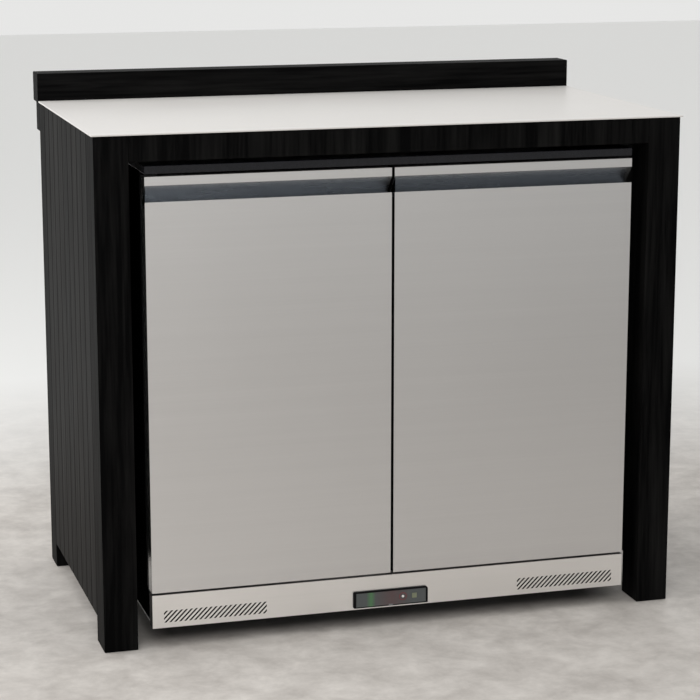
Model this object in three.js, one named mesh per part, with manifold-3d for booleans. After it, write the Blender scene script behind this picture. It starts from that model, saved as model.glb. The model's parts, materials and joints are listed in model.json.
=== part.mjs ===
// A two-door undercounter refrigerator standing inside its own timber counter.
// Units are millimetres and +Z is up. Everything is drawn inside one group in which
// x is 0 on the centre line, y is the distance behind the front face of the legs and
// z is the height above the floor. The group is then moved so that the origin is the
// bottom centre of the whole unit.

import * as THREE from 'three';
import { mergeVertices } from 'three/addons/utils/BufferGeometryUtils.js';
import Module from 'manifold-3d';

const wasm = await Module();
wasm.setup();

// ---------------------------------------------------------------- driving dimensions

const FIT = 0.3;                    // gap kept between pieces that touch

// counter
const COUNTER_WIDTH = 1066;
const WORKTOP_HEIGHT = 910;
const WORKTOP_THICKNESS = 3;
const WORKTOP_OVERHANG = 4;
const LEG_WIDTH = 60;
const FRONT_LEG_DEPTH = 70;
const REAR_LEG_DEPTH = 60;
const LEGS_DEPTH = 582;             // front face of the front legs to back face of the rear legs
const REAR_RAIL_DEPTH = 37;
const REAR_RAIL_HEIGHT = 56;
const APRON_HEIGHT = 45;
const APRON_THICKNESS = 22;
const UPSTAND_DEPTH = 54;
const UPSTAND_HEIGHT = 52;
const UPSTAND_OVERHANG = 5;
const BOARD_THICKNESS = 18;
const BOARD_COUNT = 9;
const BOARD_GROOVE = 5;             // width of the V between two boards
const BOARD_CLEARANCE = 47;         // floor to the bottom of the side boards
const SIDE_RAIL_THICKNESS = 22;
const SIDE_RAIL_HEIGHT = 46;
const DECK_THICKNESS = 18;

// refrigerator body
const FRIDGE_WIDTH = 890;
const FRIDGE_FRONT = 9;             // the doors sit this far behind the legs' front face
const FRIDGE_BACK = 528;
const TOP_PANEL_TOP = 853;
const TOP_PANEL_THICKNESS = 14;
const CASE_INSET = 2;               // the casing is this much narrower than the doors each side
const CASE_TOP = 838.6;
const SHEET = 1.2;                  // sheet metal thickness
const FRAME_FACE = 58;              // front of the frame that the gaskets seal on
const FRAME_THICKNESS = 3;
const BASE_BOTTOM = 36;
const BASE_THICKNESS = 2.5;
const PLINTH_BOTTOM = 33;
const PLINTH_TOP = 93.6;
const PLINTH_RETURN = 24;
const BODY_BOTTOM = 97;             // underside of the insulated body
const WALL = 37;                    // insulated wall
const CABIN_FLOOR = 134;
const CABIN_CEILING = 798;
const CABIN_BACK = 490;
const STEP_FRONT = 255;             // the cabin floor steps up behind here, over the machinery
const STEP_TOP = 330;
const MULLION_WIDTH = 44;
const MULLION_DEPTH = 26;

// doors
const DOOR_BOTTOM = 97.6;
const DOOR_TOP = 834.6;
const DOOR_GAP = 5;                 // between the two doors
const DOOR_SPLIT = -4;              // the gap's place; the left door is a little narrower
const DOOR_SKIN_DEPTH = 28;
const DOOR_DEPTH = 40;
const STRIP_BOTTOM = 819.4;         // lower edge of the plain strip above the handle recess
const LIP_TOP = 791;                // upper edge of the main face
const LIP_THICKNESS = 6;
const RECESS_DEPTH = 33;
const RECESS_FLOOR = 782;
const GASKET_WIDTH = 14;
const GASKET_INSET = 14;
const PIVOT_INSET = 12;             // hinge axis, from the outer edge of the door
const PIVOT_DEPTH = 22;             // hinge axis, behind the door's front face
const PIN_RADIUS = 4;
const BUSH_RADIUS = 7;
const BUSH_LENGTH = 12;
const RUNNING = 0.1;                // radial clearance of anything that turns or slides
const HINGE_PLATE = 2.4;

// grilles and controller
const SLOT_COUNT = 23;
const SLOT_PITCH = 8.95;
const SLOT_WIDTH = 2.6;
const GRILLE_WIDTH = 187;
const GRILLE_HEIGHT = 21.5;
const GRILLE_CENTRE_HEIGHT = 53.4;
const GRILLE_CENTRES = [-331, 331];
const CONTROLLER_WIDTH = 141;
const CONTROLLER_HEIGHT = 31;
const CONTROLLER_CENTRE = -6.5;
const CONTROLLER_BOTTOM = 36;
const CONTROLLER_CORNER = 5;
const BEZEL_THICKNESS = 3;
const BEZEL_LEFT = 5;               // width of the black border round the window
const BEZEL_RIGHT = 3.5;
const BEZEL_TOP = 3.2;
const BEZEL_BOTTOM = 1.4;
const POWER_KEY_PLACE = 0.663;      // along the controller's width, from its left end
const POWER_KEY_RADIUS = 2.3;
const SET_KEY_PLACE = 0.817;
const SET_KEY_HALF = 4.5;

// inside
const SHELF_LEVELS = [345, 560];
const SHELF_WIRE = 4;
const SHELF_RIM = 7;
const SHELF_PITCH = 40;
const FOOT_PLACE = 405;             // across, from the middle
const FRONT_FOOT_DEPTH = 135;
const REAR_FOOT_DEPTH = 490;
const FOOT_RADIUS = 19;
const FOOT_STUD_RADIUS = 5;
const FOOT_STUD_TOP = 62;
const EVAPORATOR_FAN_RADIUS = 62;
const CONDENSER_FAN_RADIUS = 88;
const ROUND = 28;                   // sides of a round piece

// ---------------------------------------------------------------- worked-out places

const half = COUNTER_WIDTH / 2;
const legInner = half - LEG_WIDTH;
const frameTop = WORKTOP_HEIGHT - WORKTOP_THICKNESS - FIT;
const unitBack = LEGS_DEPTH + REAR_RAIL_DEPTH;
const fridgeHalf = FRIDGE_WIDTH / 2;
const caseHalf = fridgeHalf - CASE_INSET;
const foamHalf = caseHalf - SHEET - FIT;
const cabinHalf = caseHalf - WALL;
const doorBack = FRIDGE_FRONT + DOOR_DEPTH;
const pivotX = fridgeHalf - PIVOT_INSET;
const pivotY = FRIDGE_FRONT + PIVOT_DEPTH;
const frameBack = FRAME_FACE + FRAME_THICKNESS;
const stepDepth = STEP_FRONT + WALL;
const stepUnderside = STEP_TOP - WALL;

// ---------------------------------------------------------------- finishes

function finish(color, roughness, metalness) {
  return new THREE.MeshStandardMaterial({ color, roughness, metalness });
}

const blackStainedWood = finish(0x17181a, 0.55, 0.0);
const sideWood = finish(0x4a4743, 0.6, 0.0);
const whiteLaminate = finish(0xe9e7e3, 0.35, 0.0);
const stainless = finish(0xb9b7b3, 0.3, 1.0);
const blackGloss = finish(0x141519, 0.2, 0.0);
const blackCoat = finish(0x1b1c1e, 0.5, 0.2);
const foam = finish(0xd9c9a0, 0.9, 0.0);
const whiteLiner = finish(0xe4e6e6, 0.4, 0.0);
const blackRubber = finish(0x1c1c1d, 0.8, 0.0);
const galvanised = finish(0x9da2a5, 0.45, 0.9);
const blackPlastic = finish(0x1e1f20, 0.45, 0.0);
const whiteWire = finish(0xd8dadb, 0.35, 0.3);
const fins = finish(0xb4b8ba, 0.4, 0.9);
const darkLens = finish(0x27302d, 0.15, 0.0);
const whiteKey = finish(0xe8e6e2, 0.4, 0.0);
const oliveKey = finish(0x6a6b45, 0.45, 0.0);

// ---------------------------------------------------------------- helpers

const unit = new THREE.Group();

function add(name, geometry, material) {
  const mesh = new THREE.Mesh(geometry, material);
  mesh.name = name;
  unit.add(mesh);
  return mesh;
}

// A box from its ranges along x, y and z.
function box([x0, x1], [y0, y1], [z0, z1]) {
  const geometry = new THREE.BoxGeometry(x1 - x0, y1 - y0, z1 - z0);
  geometry.translate((x0 + x1) / 2, (y0 + y1) / 2, (z0 + z1) / 2);
  return geometry;
}

// A straight bar whose outline is drawn looking from the side, as [y, z] points.
function sideBar(outline, [x0, x1]) {
  const shape = new THREE.Shape(outline.map(([y, z]) => new THREE.Vector2(y, z)));
  const geometry = new THREE.ExtrudeGeometry(shape, { depth: x1 - x0, bevelEnabled: false });
  const along = new THREE.Matrix4().makeBasis(
    new THREE.Vector3(0, 1, 0), new THREE.Vector3(0, 0, 1), new THREE.Vector3(1, 0, 0));
  geometry.applyMatrix4(along);
  geometry.translate(x0, 0, 0);
  return geometry;
}

// A post whose outline is drawn looking down, as [x, y] points.
function post(outline, [z0, z1]) {
  const shape = new THREE.Shape(outline.map(([x, y]) => new THREE.Vector2(x, y)));
  const geometry = new THREE.ExtrudeGeometry(shape, { depth: z1 - z0, bevelEnabled: false });
  geometry.translate(0, 0, z0);
  return geometry;
}

// A round piece about a vertical axis, from its [radius, height] outline.
function turned(outline, x, y, sides = ROUND) {
  const points = outline.map(([r, z]) => new THREE.Vector2(r, z));
  const geometry = new THREE.LatheGeometry(points, sides);
  geometry.rotateX(Math.PI / 2);
  geometry.translate(x, y, 0);
  return geometry;
}

// A round rod standing on z0.
function rod(radius, x, y, [z0, z1], sides = ROUND) {
  return turned([[0, z0], [radius, z0], [radius, z1], [0, z1]], x, y, sides);
}

function solid(geometry) {
  const bare = geometry.clone();
  bare.deleteAttribute('normal');
  bare.deleteAttribute('uv');
  const merged = mergeVertices(bare, 1e-4);
  return new wasm.Manifold(new wasm.Mesh({
    numProp: 3,
    vertProperties: new Float32Array(merged.attributes.position.array),
    triVerts: new Uint32Array(merged.index.array),
  }));
}

function surface(manifold) {
  const mesh = manifold.getMesh();
  const geometry = new THREE.BufferGeometry();
  geometry.setAttribute('position', new THREE.BufferAttribute(mesh.vertProperties, 3));
  geometry.setIndex(new THREE.BufferAttribute(mesh.triVerts, 1));
  geometry.computeVertexNormals();
  return geometry;
}

function cut(body, ...tools) {
  let result = solid(body);
  for (const tool of tools) result = result.subtract(solid(tool));
  return surface(result);
}

function join(...pieces) {
  let result = solid(pieces[0]);
  for (const piece of pieces.slice(1)) result = result.add(solid(piece));
  return surface(result);
}

function mirrored([x0, x1], side) {
  return side < 0 ? [x0, x1] : [-x1, -x0];
}

const sides = [['left', -1], ['right', 1]];

// ---------------------------------------------------------------- counter

function buildCounter() {
  for (const [label, side] of sides) {
    const across = mirrored([-half, -legInner], side);
    const boards = mirrored([-half, -half + BOARD_THICKNESS], side);
    const behindBoards = -half + BOARD_THICKNESS + FIT;
    const rail = mirrored([behindBoards, behindBoards + SIDE_RAIL_THICKNESS], side);
    const between = [FRONT_LEG_DEPTH + FIT, LEGS_DEPTH - REAR_LEG_DEPTH - FIT];
    const rearLeg = [LEGS_DEPTH - REAR_LEG_DEPTH, LEGS_DEPTH];
    add(`front_${label}_leg`, box(across, [0, FRONT_LEG_DEPTH], [0, frameTop]), blackStainedWood);
    add(`rear_${label}_leg`, box(across, rearLeg, [0, frameTop]), sideWood);
    add(`${label}_side_boards`, sideBoards(boards, between, side), sideWood);
    add(`${label}_top_rail`, box(rail, between, [frameTop - SIDE_RAIL_HEIGHT, frameTop]), sideWood);
  }
  const inside = [-legInner + FIT, legInner - FIT];
  add('apron', box(inside, [0, APRON_THICKNESS], [frameTop - APRON_HEIGHT, frameTop]), blackStainedWood);
  add('deck_board', box(
    inside, [APRON_THICKNESS + FIT, LEGS_DEPTH], [frameTop - DECK_THICKNESS, frameTop]), sideWood);
  add('rear_rail', box(
    [-half, half], [LEGS_DEPTH + FIT, unitBack], [frameTop - REAR_RAIL_HEIGHT, frameTop]), sideWood);
  const top = half + WORKTOP_OVERHANG;
  const upstandFront = unitBack - UPSTAND_DEPTH;
  add('worktop', box(
    [-top, top], [-WORKTOP_OVERHANG, upstandFront - FIT],
    [WORKTOP_HEIGHT - WORKTOP_THICKNESS, WORKTOP_HEIGHT]), whiteLaminate);
  const wide = half + UPSTAND_OVERHANG;
  add('upstand', box(
    [-wide, wide], [upstandFront, unitBack],
    [frameTop + FIT, WORKTOP_HEIGHT + UPSTAND_HEIGHT]), blackStainedWood);
}

// Upright boards joined edge to edge, with a shallow V at each joint on the outer face.
function sideBoards([x0, x1], [y0, y1], side) {
  const outer = side < 0 ? x0 : x1;
  const inner = side < 0 ? x1 : x0;
  const boardWidth = (y1 - y0) / BOARD_COUNT;
  const outline = [[inner, y0], [outer, y0]];
  for (let i = 1; i < BOARD_COUNT; i += 1) {
    const joint = y0 + i * boardWidth;
    outline.push([outer, joint - BOARD_GROOVE / 2]);
    outline.push([outer - side * BOARD_GROOVE / 2, joint]);
    outline.push([outer, joint + BOARD_GROOVE / 2]);
  }
  outline.push([outer, y1], [inner, y1]);
  return post(outline, [BOARD_CLEARANCE, frameTop]);
}

// ---------------------------------------------------------------- refrigerator body

function buildBody() {
  const machineWindow = box([-300, 300], [FRIDGE_BACK - 10, FRIDGE_BACK + 10], [60, 280]);
  const casingBottom = BASE_BOTTOM + BASE_THICKNESS + FIT;
  add('cabinet_casing', cut(
    box([-caseHalf, caseHalf], [frameBack + FIT, FRIDGE_BACK], [casingBottom, CASE_TOP]),
    box([-caseHalf + SHEET, caseHalf - SHEET], [0, FRIDGE_BACK - SHEET], [0, CASE_TOP - SHEET]),
    machineWindow), blackCoat);

  const foamBack = FRIDGE_BACK - SHEET - FIT;
  const foamTop = CASE_TOP - SHEET - FIT;
  const foamFront = frameBack + FIT;
  const foamOutline = [
    [foamFront, BODY_BOTTOM], [stepDepth, BODY_BOTTOM], [stepDepth, stepUnderside],
    [foamBack, stepUnderside], [foamBack, foamTop], [foamFront, foamTop]];
  add('cabinet_insulation', cut(
    sideBar(foamOutline, [-foamHalf, foamHalf]),
    sideBar(cabinOutline(0), [-cabinHalf, cabinHalf])), foam);

  add('cabin_liner', cut(
    sideBar(cabinOutline(FIT, foamFront), [-cabinHalf + FIT, cabinHalf - FIT]),
    sideBar(cabinOutline(FIT + SHEET), [-cabinHalf + FIT + SHEET, cabinHalf - FIT - SHEET])), whiteLiner);

  const lip = SHEET + FIT;
  add('front_frame', cut(
    box([-caseHalf, caseHalf], [FRAME_FACE, frameBack], [BODY_BOTTOM, CASE_TOP]),
    box([-cabinHalf + lip, cabinHalf - lip], [0, 100], [CABIN_FLOOR + lip, CABIN_CEILING - lip])),
  blackCoat);

  const mullion = MULLION_WIDTH / 2;
  add('centre_mullion', box(
    [DOOR_SPLIT - mullion, DOOR_SPLIT + mullion], [FRAME_FACE, FRAME_FACE + MULLION_DEPTH],
    [CABIN_FLOOR + lip + FIT, CABIN_CEILING - lip - FIT]), blackPlastic);

  add('top_panel', box(
    [-fridgeHalf, fridgeHalf], [FRIDGE_FRONT, FRIDGE_BACK],
    [TOP_PANEL_TOP - TOP_PANEL_THICKNESS, TOP_PANEL_TOP]), blackGloss);

  const footHoles = footPlaces().map(({ x, y }) => rod(
    FOOT_STUD_RADIUS + RUNNING, x, y, [BASE_BOTTOM - 5, BASE_BOTTOM + 10]));
  add('base_pan', cut(
    box([-caseHalf, caseHalf], [FRIDGE_FRONT + PLINTH_RETURN + FIT, FRIDGE_BACK],
      [BASE_BOTTOM, BASE_BOTTOM + BASE_THICKNESS]), ...footHoles), galvanised);
}

// The inside of the cabin from the side, drawn in from the foam by a margin. Its front
// edge is at y0, or well in front of the body when it is used to cut the mouth open.
function cabinOutline(margin, y0 = 0) {
  return [
    [y0, CABIN_FLOOR + margin], [STEP_FRONT - margin, CABIN_FLOOR + margin],
    [STEP_FRONT - margin, STEP_TOP + margin], [CABIN_BACK - margin, STEP_TOP + margin],
    [CABIN_BACK - margin, CABIN_CEILING - margin], [y0, CABIN_CEILING - margin]];
}

function footPlaces() {
  const places = [];
  for (const [row, y] of [['front', FRONT_FOOT_DEPTH], ['rear', REAR_FOOT_DEPTH]]) {
    for (const [label, side] of sides) places.push({ name: `${row}_${label}_foot`, x: side * FOOT_PLACE, y });
  }
  return places;
}

function buildFeet() {
  const outline = [
    [0, 0], [FOOT_RADIUS - 1, 0], [FOOT_RADIUS, 1.5], [FOOT_RADIUS, 9], [11, 14], [9, 20],
    [FOOT_STUD_RADIUS, 20], [FOOT_STUD_RADIUS, FOOT_STUD_TOP], [0, FOOT_STUD_TOP]];
  for (const { name, x, y } of footPlaces()) add(name, turned(outline, x, y), blackPlastic);
}

// ---------------------------------------------------------------- plinth and controller

// Slots that lean 45 degrees, trimmed to a rectangle.
function grilleSlots() {
  const slots = [];
  const low = GRILLE_CENTRE_HEIGHT - GRILLE_HEIGHT / 2;
  for (const centre of GRILLE_CENTRES) {
    const frame = solid(box(
      [centre - GRILLE_WIDTH / 2, centre + GRILLE_WIDTH / 2],
      [FRIDGE_FRONT - 5, FRIDGE_FRONT + 5], [low, low + GRILLE_HEIGHT]));
    for (let i = 0; i < SLOT_COUNT; i += 1) {
      const slot = new THREE.BoxGeometry(SLOT_WIDTH, 8, GRILLE_HEIGHT * 2);
      slot.rotateY(Math.PI / 4);
      slot.translate(centre + (i - (SLOT_COUNT - 1) / 2) * SLOT_PITCH, FRIDGE_FRONT, GRILLE_CENTRE_HEIGHT);
      slots.push(solid(slot).intersect(frame));
    }
  }
  return slots;
}

function buildPlinth() {
  const back = FRIDGE_FRONT + PLINTH_RETURN;
  const controllerHalf = CONTROLLER_WIDTH / 2;
  let panel = solid(box([-fridgeHalf, fridgeHalf], [FRIDGE_FRONT, back], [PLINTH_BOTTOM, PLINTH_TOP]));
  panel = panel.subtract(solid(box(
    [-fridgeHalf + SHEET, fridgeHalf - SHEET], [FRIDGE_FRONT + SHEET, back + 5],
    [PLINTH_BOTTOM + SHEET, PLINTH_TOP - SHEET])));
  panel = panel.subtract(solid(box(
    [CONTROLLER_CENTRE - controllerHalf + 3, CONTROLLER_CENTRE + controllerHalf - 3],
    [FRIDGE_FRONT - 5, FRIDGE_FRONT + 5],
    [CONTROLLER_BOTTOM + 3, CONTROLLER_BOTTOM + CONTROLLER_HEIGHT - 3])));
  for (const slot of grilleSlots()) panel = panel.subtract(slot);
  add('plinth_panel', surface(panel), stainless);
}

function buildController() {
  const x0 = CONTROLLER_CENTRE - CONTROLLER_WIDTH / 2;
  const x1 = x0 + CONTROLLER_WIDTH;
  const z0 = CONTROLLER_BOTTOM;
  const z1 = z0 + CONTROLLER_HEIGHT;
  const face = FRIDGE_FRONT - FIT;
  const windowX = [x0 + BEZEL_LEFT, x1 - BEZEL_RIGHT];
  const windowZ = [z0 + BEZEL_BOTTOM, z1 - BEZEL_TOP];
  const rim = [
    [x0, z0 + 2], [x0 + 2, z0], [x1, z0], ...roundedCorner(x1, z1, CONTROLLER_CORNER),
    [x0 + 2, z1], [x0, z1 - 2]];
  const flange = frontPlate(rim, [face - BEZEL_THICKNESS, face]);
  const body = box([x0 + 3.4, x1 - 3.4], [face - 1, face + 22], [z0 + 3.4, z1 - 3.4]);
  const window = box(windowX, [face - 10, face - 1], windowZ);
  const keyHole = (key) => keyBody(key, RUNNING, 12, face - 6);
  add('controller_housing', cut(join(flange, body), window, ...keyPlaces().map(keyHole)), blackPlastic);
  add('display_lens', cut(
    box(inside(windowX, FIT), [face - 2.4, face - 1 - FIT], inside(windowZ, FIT)),
    ...keyPlaces().map(keyHole)), darkLens);
  for (const key of keyPlaces()) add(key.name, keyBody(key, 0, 4.4, face - 3.4), key.material);
}

// Points of a quarter circle that rounds an upper right corner, from right to top.
function roundedCorner(x, z, radius) {
  const points = [];
  for (let i = 0; i <= 3; i += 1) {
    const angle = i * Math.PI / 6;
    points.push([x - radius + radius * Math.cos(angle), z - radius + radius * Math.sin(angle)]);
  }
  return points;
}

function inside([low, high], margin) {
  return [low + margin, high - margin];
}

function keyPlaces() {
  const x0 = CONTROLLER_CENTRE - CONTROLLER_WIDTH / 2;
  const z = CONTROLLER_BOTTOM + CONTROLLER_HEIGHT / 2;
  const power = x0 + POWER_KEY_PLACE * CONTROLLER_WIDTH;
  const set = x0 + SET_KEY_PLACE * CONTROLLER_WIDTH;
  return [
    { name: 'power_key', x: power, z, size: POWER_KEY_RADIUS, round: true, material: whiteKey },
    { name: 'set_key', x: set, z, size: SET_KEY_HALF, round: false, material: oliveKey }];
}

// A key, or the hole it runs in when a clearance is given, with its front at y.
function keyBody({ x, z, size, round }, clearance, length, y) {
  const reach = size + clearance;
  if (!round) return box([x - reach, x + reach], [y, y + length], [z - reach, z + reach]);
  const key = new THREE.CylinderGeometry(reach, reach, length, ROUND);
  key.translate(x, y + length / 2, z);
  return key;
}

// A flat plate facing forward, from its [x, z] outline and its range in y.
function frontPlate(outline, [y0, y1]) {
  const shape = new THREE.Shape(outline.map(([x, z]) => new THREE.Vector2(x, z)));
  const geometry = new THREE.ExtrudeGeometry(shape, { depth: y1 - y0, bevelEnabled: false });
  geometry.rotateX(Math.PI / 2);
  geometry.translate(0, y1, 0);
  return geometry;
}

// ---------------------------------------------------------------- doors and hinges

// The door's section from the side: the strip, the handle recess that slopes down and
// back, the lip that fingers hook behind, and the plain main face. A margin draws it in.
function doorOutline(margin, back) {
  const front = FRIDGE_FRONT + margin;
  return [
    [back, DOOR_BOTTOM + margin], [front, DOOR_BOTTOM + margin], [front, LIP_TOP - margin],
    [FRIDGE_FRONT + LIP_THICKNESS - margin, LIP_TOP - margin],
    [FRIDGE_FRONT + LIP_THICKNESS - margin, RECESS_FLOOR - margin],
    [FRIDGE_FRONT + RECESS_DEPTH + margin, RECESS_FLOOR - margin],
    [front, STRIP_BOTTOM + margin * 1.2], [front, DOOR_TOP - margin], [back, DOOR_TOP - margin]];
}

function buildDoor(label, side) {
  const closingEdge = DOOR_SPLIT + side * DOOR_GAP / 2;
  const across = side < 0 ? [-fridgeHalf, closingEdge] : [closingEdge, fridgeHalf];
  const inner = [across[0] + SHEET, across[1] - SHEET];
  const coreRange = [inner[0] + FIT, inner[1] - FIT];
  const skinBack = FRIDGE_FRONT + DOOR_SKIN_DEPTH;
  const x = side * pivotX;
  const bushHoles = [
    rod(BUSH_RADIUS + FIT, x, pivotY, [DOOR_TOP - BUSH_LENGTH - FIT, DOOR_TOP + 5]),
    rod(BUSH_RADIUS + FIT, x, pivotY, [DOOR_BOTTOM - 5, DOOR_BOTTOM + BUSH_LENGTH + FIT])];

  const recessBack = FRIDGE_FRONT + RECESS_DEPTH;
  const outerBack = recessBack + SHEET + 1;
  const pan = solid(sideBar(doorOutline(0, outerBack), across))
    .subtract(solid(sideBar(doorOutline(SHEET, outerBack + 5), inner)));
  const returns = cut(
    box([across[0] - 5, across[1] + 5], [skinBack, outerBack + 20], [0, 1000]),
    box([across[0] - 9, across[1] + 9], [0, outerBack + 30], [RECESS_FLOOR - 3, STRIP_BOTTOM]));
  let skin = pan.subtract(solid(returns));
  for (const hole of bushHoles) skin = skin.subtract(solid(hole));
  add(`${label}_door_skin`, surface(skin), stainless);

  const innerBack = doorBack - FIT;
  let core = solid(sideBar(doorOutline(SHEET + FIT, outerBack), coreRange));
  core = core.intersect(solid(box(coreRange, [0, outerBack], [0, 1000])));
  for (const hole of bushHoles) core = core.subtract(solid(hole));
  add(`${label}_door_core`, surface(core), foam);

  const panelInset = 1.5;
  const panelRange = [across[0] + panelInset, across[1] - panelInset];
  const low = DOOR_BOTTOM + panelInset;
  const high = DOOR_TOP - panelInset;
  add(`${label}_door_inner_panel`, cut(
    box(panelRange, [outerBack + FIT, innerBack], [low, high]),
    box([panelRange[0] + 40, panelRange[1] - 40], [innerBack - 2, innerBack + 5], [low + 45, high - 45])),
  whiteLiner);

  const gasketEdge = closingEdge + side * 3;
  const gasketRange = side < 0
    ? [-fridgeHalf + GASKET_INSET, gasketEdge] : [gasketEdge, fridgeHalf - GASKET_INSET];
  const z0 = DOOR_BOTTOM + 8;
  const z1 = DOOR_TOP - 8;
  add(`${label}_door_gasket`, cut(
    box(gasketRange, [doorBack, FRAME_FACE - FIT], [z0, z1]),
    box([gasketRange[0] + GASKET_WIDTH, gasketRange[1] - GASKET_WIDTH], [0, 100],
      [z0 + GASKET_WIDTH, z1 - GASKET_WIDTH])), blackRubber);

  buildHinge(label, side, 'top', x);
  buildHinge(label, side, 'bottom', x);
}

function buildHinge(label, side, end, x) {
  const across = mirrored([-caseHalf, -fridgeHalf + 24], side);
  const foot = mirrored([-caseHalf, -caseHalf + 8], side);
  const top = end === 'top';
  const doorEnd = top ? DOOR_TOP : DOOR_BOTTOM;
  const away = top ? 1 : -1;
  const near = doorEnd + away * 0.8;
  const far = near + away * HINGE_PLATE;
  const plate = [Math.min(near, far), Math.max(near, far)];
  const legEnd = doorEnd - away * 30;
  const leg = [Math.min(far, legEnd), Math.max(far, legEnd)];
  const pinEnd = doorEnd - away * (BUSH_LENGTH - 1);
  const pin = [Math.min(far, pinEnd), Math.max(far, pinEnd)];
  add(`${label}_${end}_hinge`, join(
    box(across, [FRIDGE_FRONT + 8, FRAME_FACE - FIT], plate),
    box(foot, [FRAME_FACE - FIT - HINGE_PLATE, FRAME_FACE - FIT], leg),
    rod(PIN_RADIUS, x, pivotY, pin)), blackCoat);

  const ring = [
    [PIN_RADIUS + RUNNING, 0], [BUSH_RADIUS, 0], [BUSH_RADIUS, BUSH_LENGTH],
    [PIN_RADIUS + RUNNING, BUSH_LENGTH], [PIN_RADIUS + RUNNING, 0]];
  const bush = turned(ring, x, pivotY);
  bush.translate(0, 0, top ? DOOR_TOP - BUSH_LENGTH : DOOR_BOTTOM);
  add(`${label}_${end}_bush`, bush, blackPlastic);
}

// ---------------------------------------------------------------- inside the cabin

function buildShelves() {
  const left = -cabinHalf + 12;
  const right = cabinHalf - 12;
  const front = FRAME_FACE + MULLION_DEPTH + 10;
  const backs = [CABIN_BACK - 12, CABIN_BACK - 82];
  SHELF_LEVELS.forEach((level, i) => {
    const back = backs[i];
    const rim = cut(
      box([left, right], [front, back], [level, level + SHELF_RIM]),
      box([left + SHELF_RIM, right - SHELF_RIM], [front + SHELF_RIM, back - SHELF_RIM], [0, 1000]));
    let shelf = solid(rim);
    const count = Math.floor((right - left) / SHELF_PITCH);
    const pitch = (right - left - SHELF_RIM) / count;
    for (let n = 1; n < count; n += 1) {
      const x = left + SHELF_RIM / 2 + n * pitch;
      shelf = shelf.add(solid(box(
        [x - SHELF_WIRE / 2, x + SHELF_WIRE / 2], [front + 2, back - 2],
        [level + 2, level + 2 + SHELF_WIRE])));
    }
    const middle = (front + back) / 2;
    shelf = shelf.add(solid(box(
      [left + 2, right - 2], [middle - 2, middle + 2], [level + 0.5, level + 3])));
    add(['lower_shelf', 'upper_shelf'][i], surface(shelf), whiteWire);
  });
}

function buildPilasters() {
  const wall = cabinHalf - FIT * 2 - SHEET;
  for (const [row, y] of [['front', 110], ['rear', 380]]) {
    for (const [label, side] of sides) {
      const bottom = row === 'front' ? CABIN_FLOOR + 20 : STEP_TOP + 4;
      const strip = box(
        mirrored([-wall, -wall + 6], side), [y, y + 20], [bottom, CABIN_CEILING - 20]);
      const lugs = SHELF_LEVELS.map((level) => box(
        mirrored([-wall + 1, -wall + 22], side), [y + 3, y + 17], [level - FIT - 5, level - FIT]));
      add(`${row}_${label}_pilaster`, join(strip, ...lugs), galvanised);
    }
  }
}

// A fan about a level axis along y: a hub with twisted blades.
function fan(radius, hubRadius, depth, blades) {
  const hub = new THREE.CylinderGeometry(hubRadius, hubRadius, depth, 20);
  let result = solid(hub);
  for (let i = 0; i < blades; i += 1) {
    const blade = new THREE.BoxGeometry(radius - hubRadius + 4, 2, radius * 0.62);
    blade.rotateX(0.5);
    blade.translate((radius + hubRadius) / 2 - 4, 0, 0);
    blade.rotateY((i * 2 * Math.PI) / blades);
    result = result.add(solid(blade));
  }
  return surface(result.intersect(solid(new THREE.CylinderGeometry(radius, radius, depth, 40))));
}

const evaporator = { x: 0, y: 446, z: 690, half: 150, low: 610, high: 775 };

function buildEvaporator() {
  const { x, y, z, half: wide, low, high } = evaporator;
  const front = 412;
  const back = CABIN_BACK - FIT * 2 - SHEET;
  const hole = new THREE.CylinderGeometry(EVAPORATOR_FAN_RADIUS + 4, EVAPORATOR_FAN_RADIUS + 4, 40, 40);
  hole.translate(x, front, z);
  add('evaporator_cover', cut(
    box([x - wide, x + wide], [front, back], [low, high]),
    box([x - wide + 2, x + wide - 2], [front + 2, back + 5], [low + 2, high - 2]),
    hole,
    box([x - wide + 20, x + wide - 20], [front + 20, back - 10], [low - 5, low + 5])), whiteLiner);
  add('evaporator_coil', finnedBlock(
    [x - wide + 8, x + wide - 8], [y + 16, back - 4], [low + 12, high - 8], 14), fins);
  const blades = fan(EVAPORATOR_FAN_RADIUS, 20, 20, 5);
  blades.translate(x, front + 16, z);
  add('evaporator_fan', blades, blackPlastic);
}

// A heat exchanger: a solid core with fins cut into its front.
function finnedBlock([x0, x1], [y0, y1], [z0, z1], count) {
  let block = solid(box([x0, x1], [y0, y1], [z0, z1]));
  const pitch = (x1 - x0) / count;
  for (let i = 0; i < count; i += 1) {
    const x = x0 + (i + 0.5) * pitch;
    block = block.subtract(solid(box(
      [x - pitch * 0.3, x + pitch * 0.3], [y0 - 1, y0 + (y1 - y0) * 0.6], [z0 + 5, z1 - 5])));
  }
  return surface(block);
}

// ---------------------------------------------------------------- machinery

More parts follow.
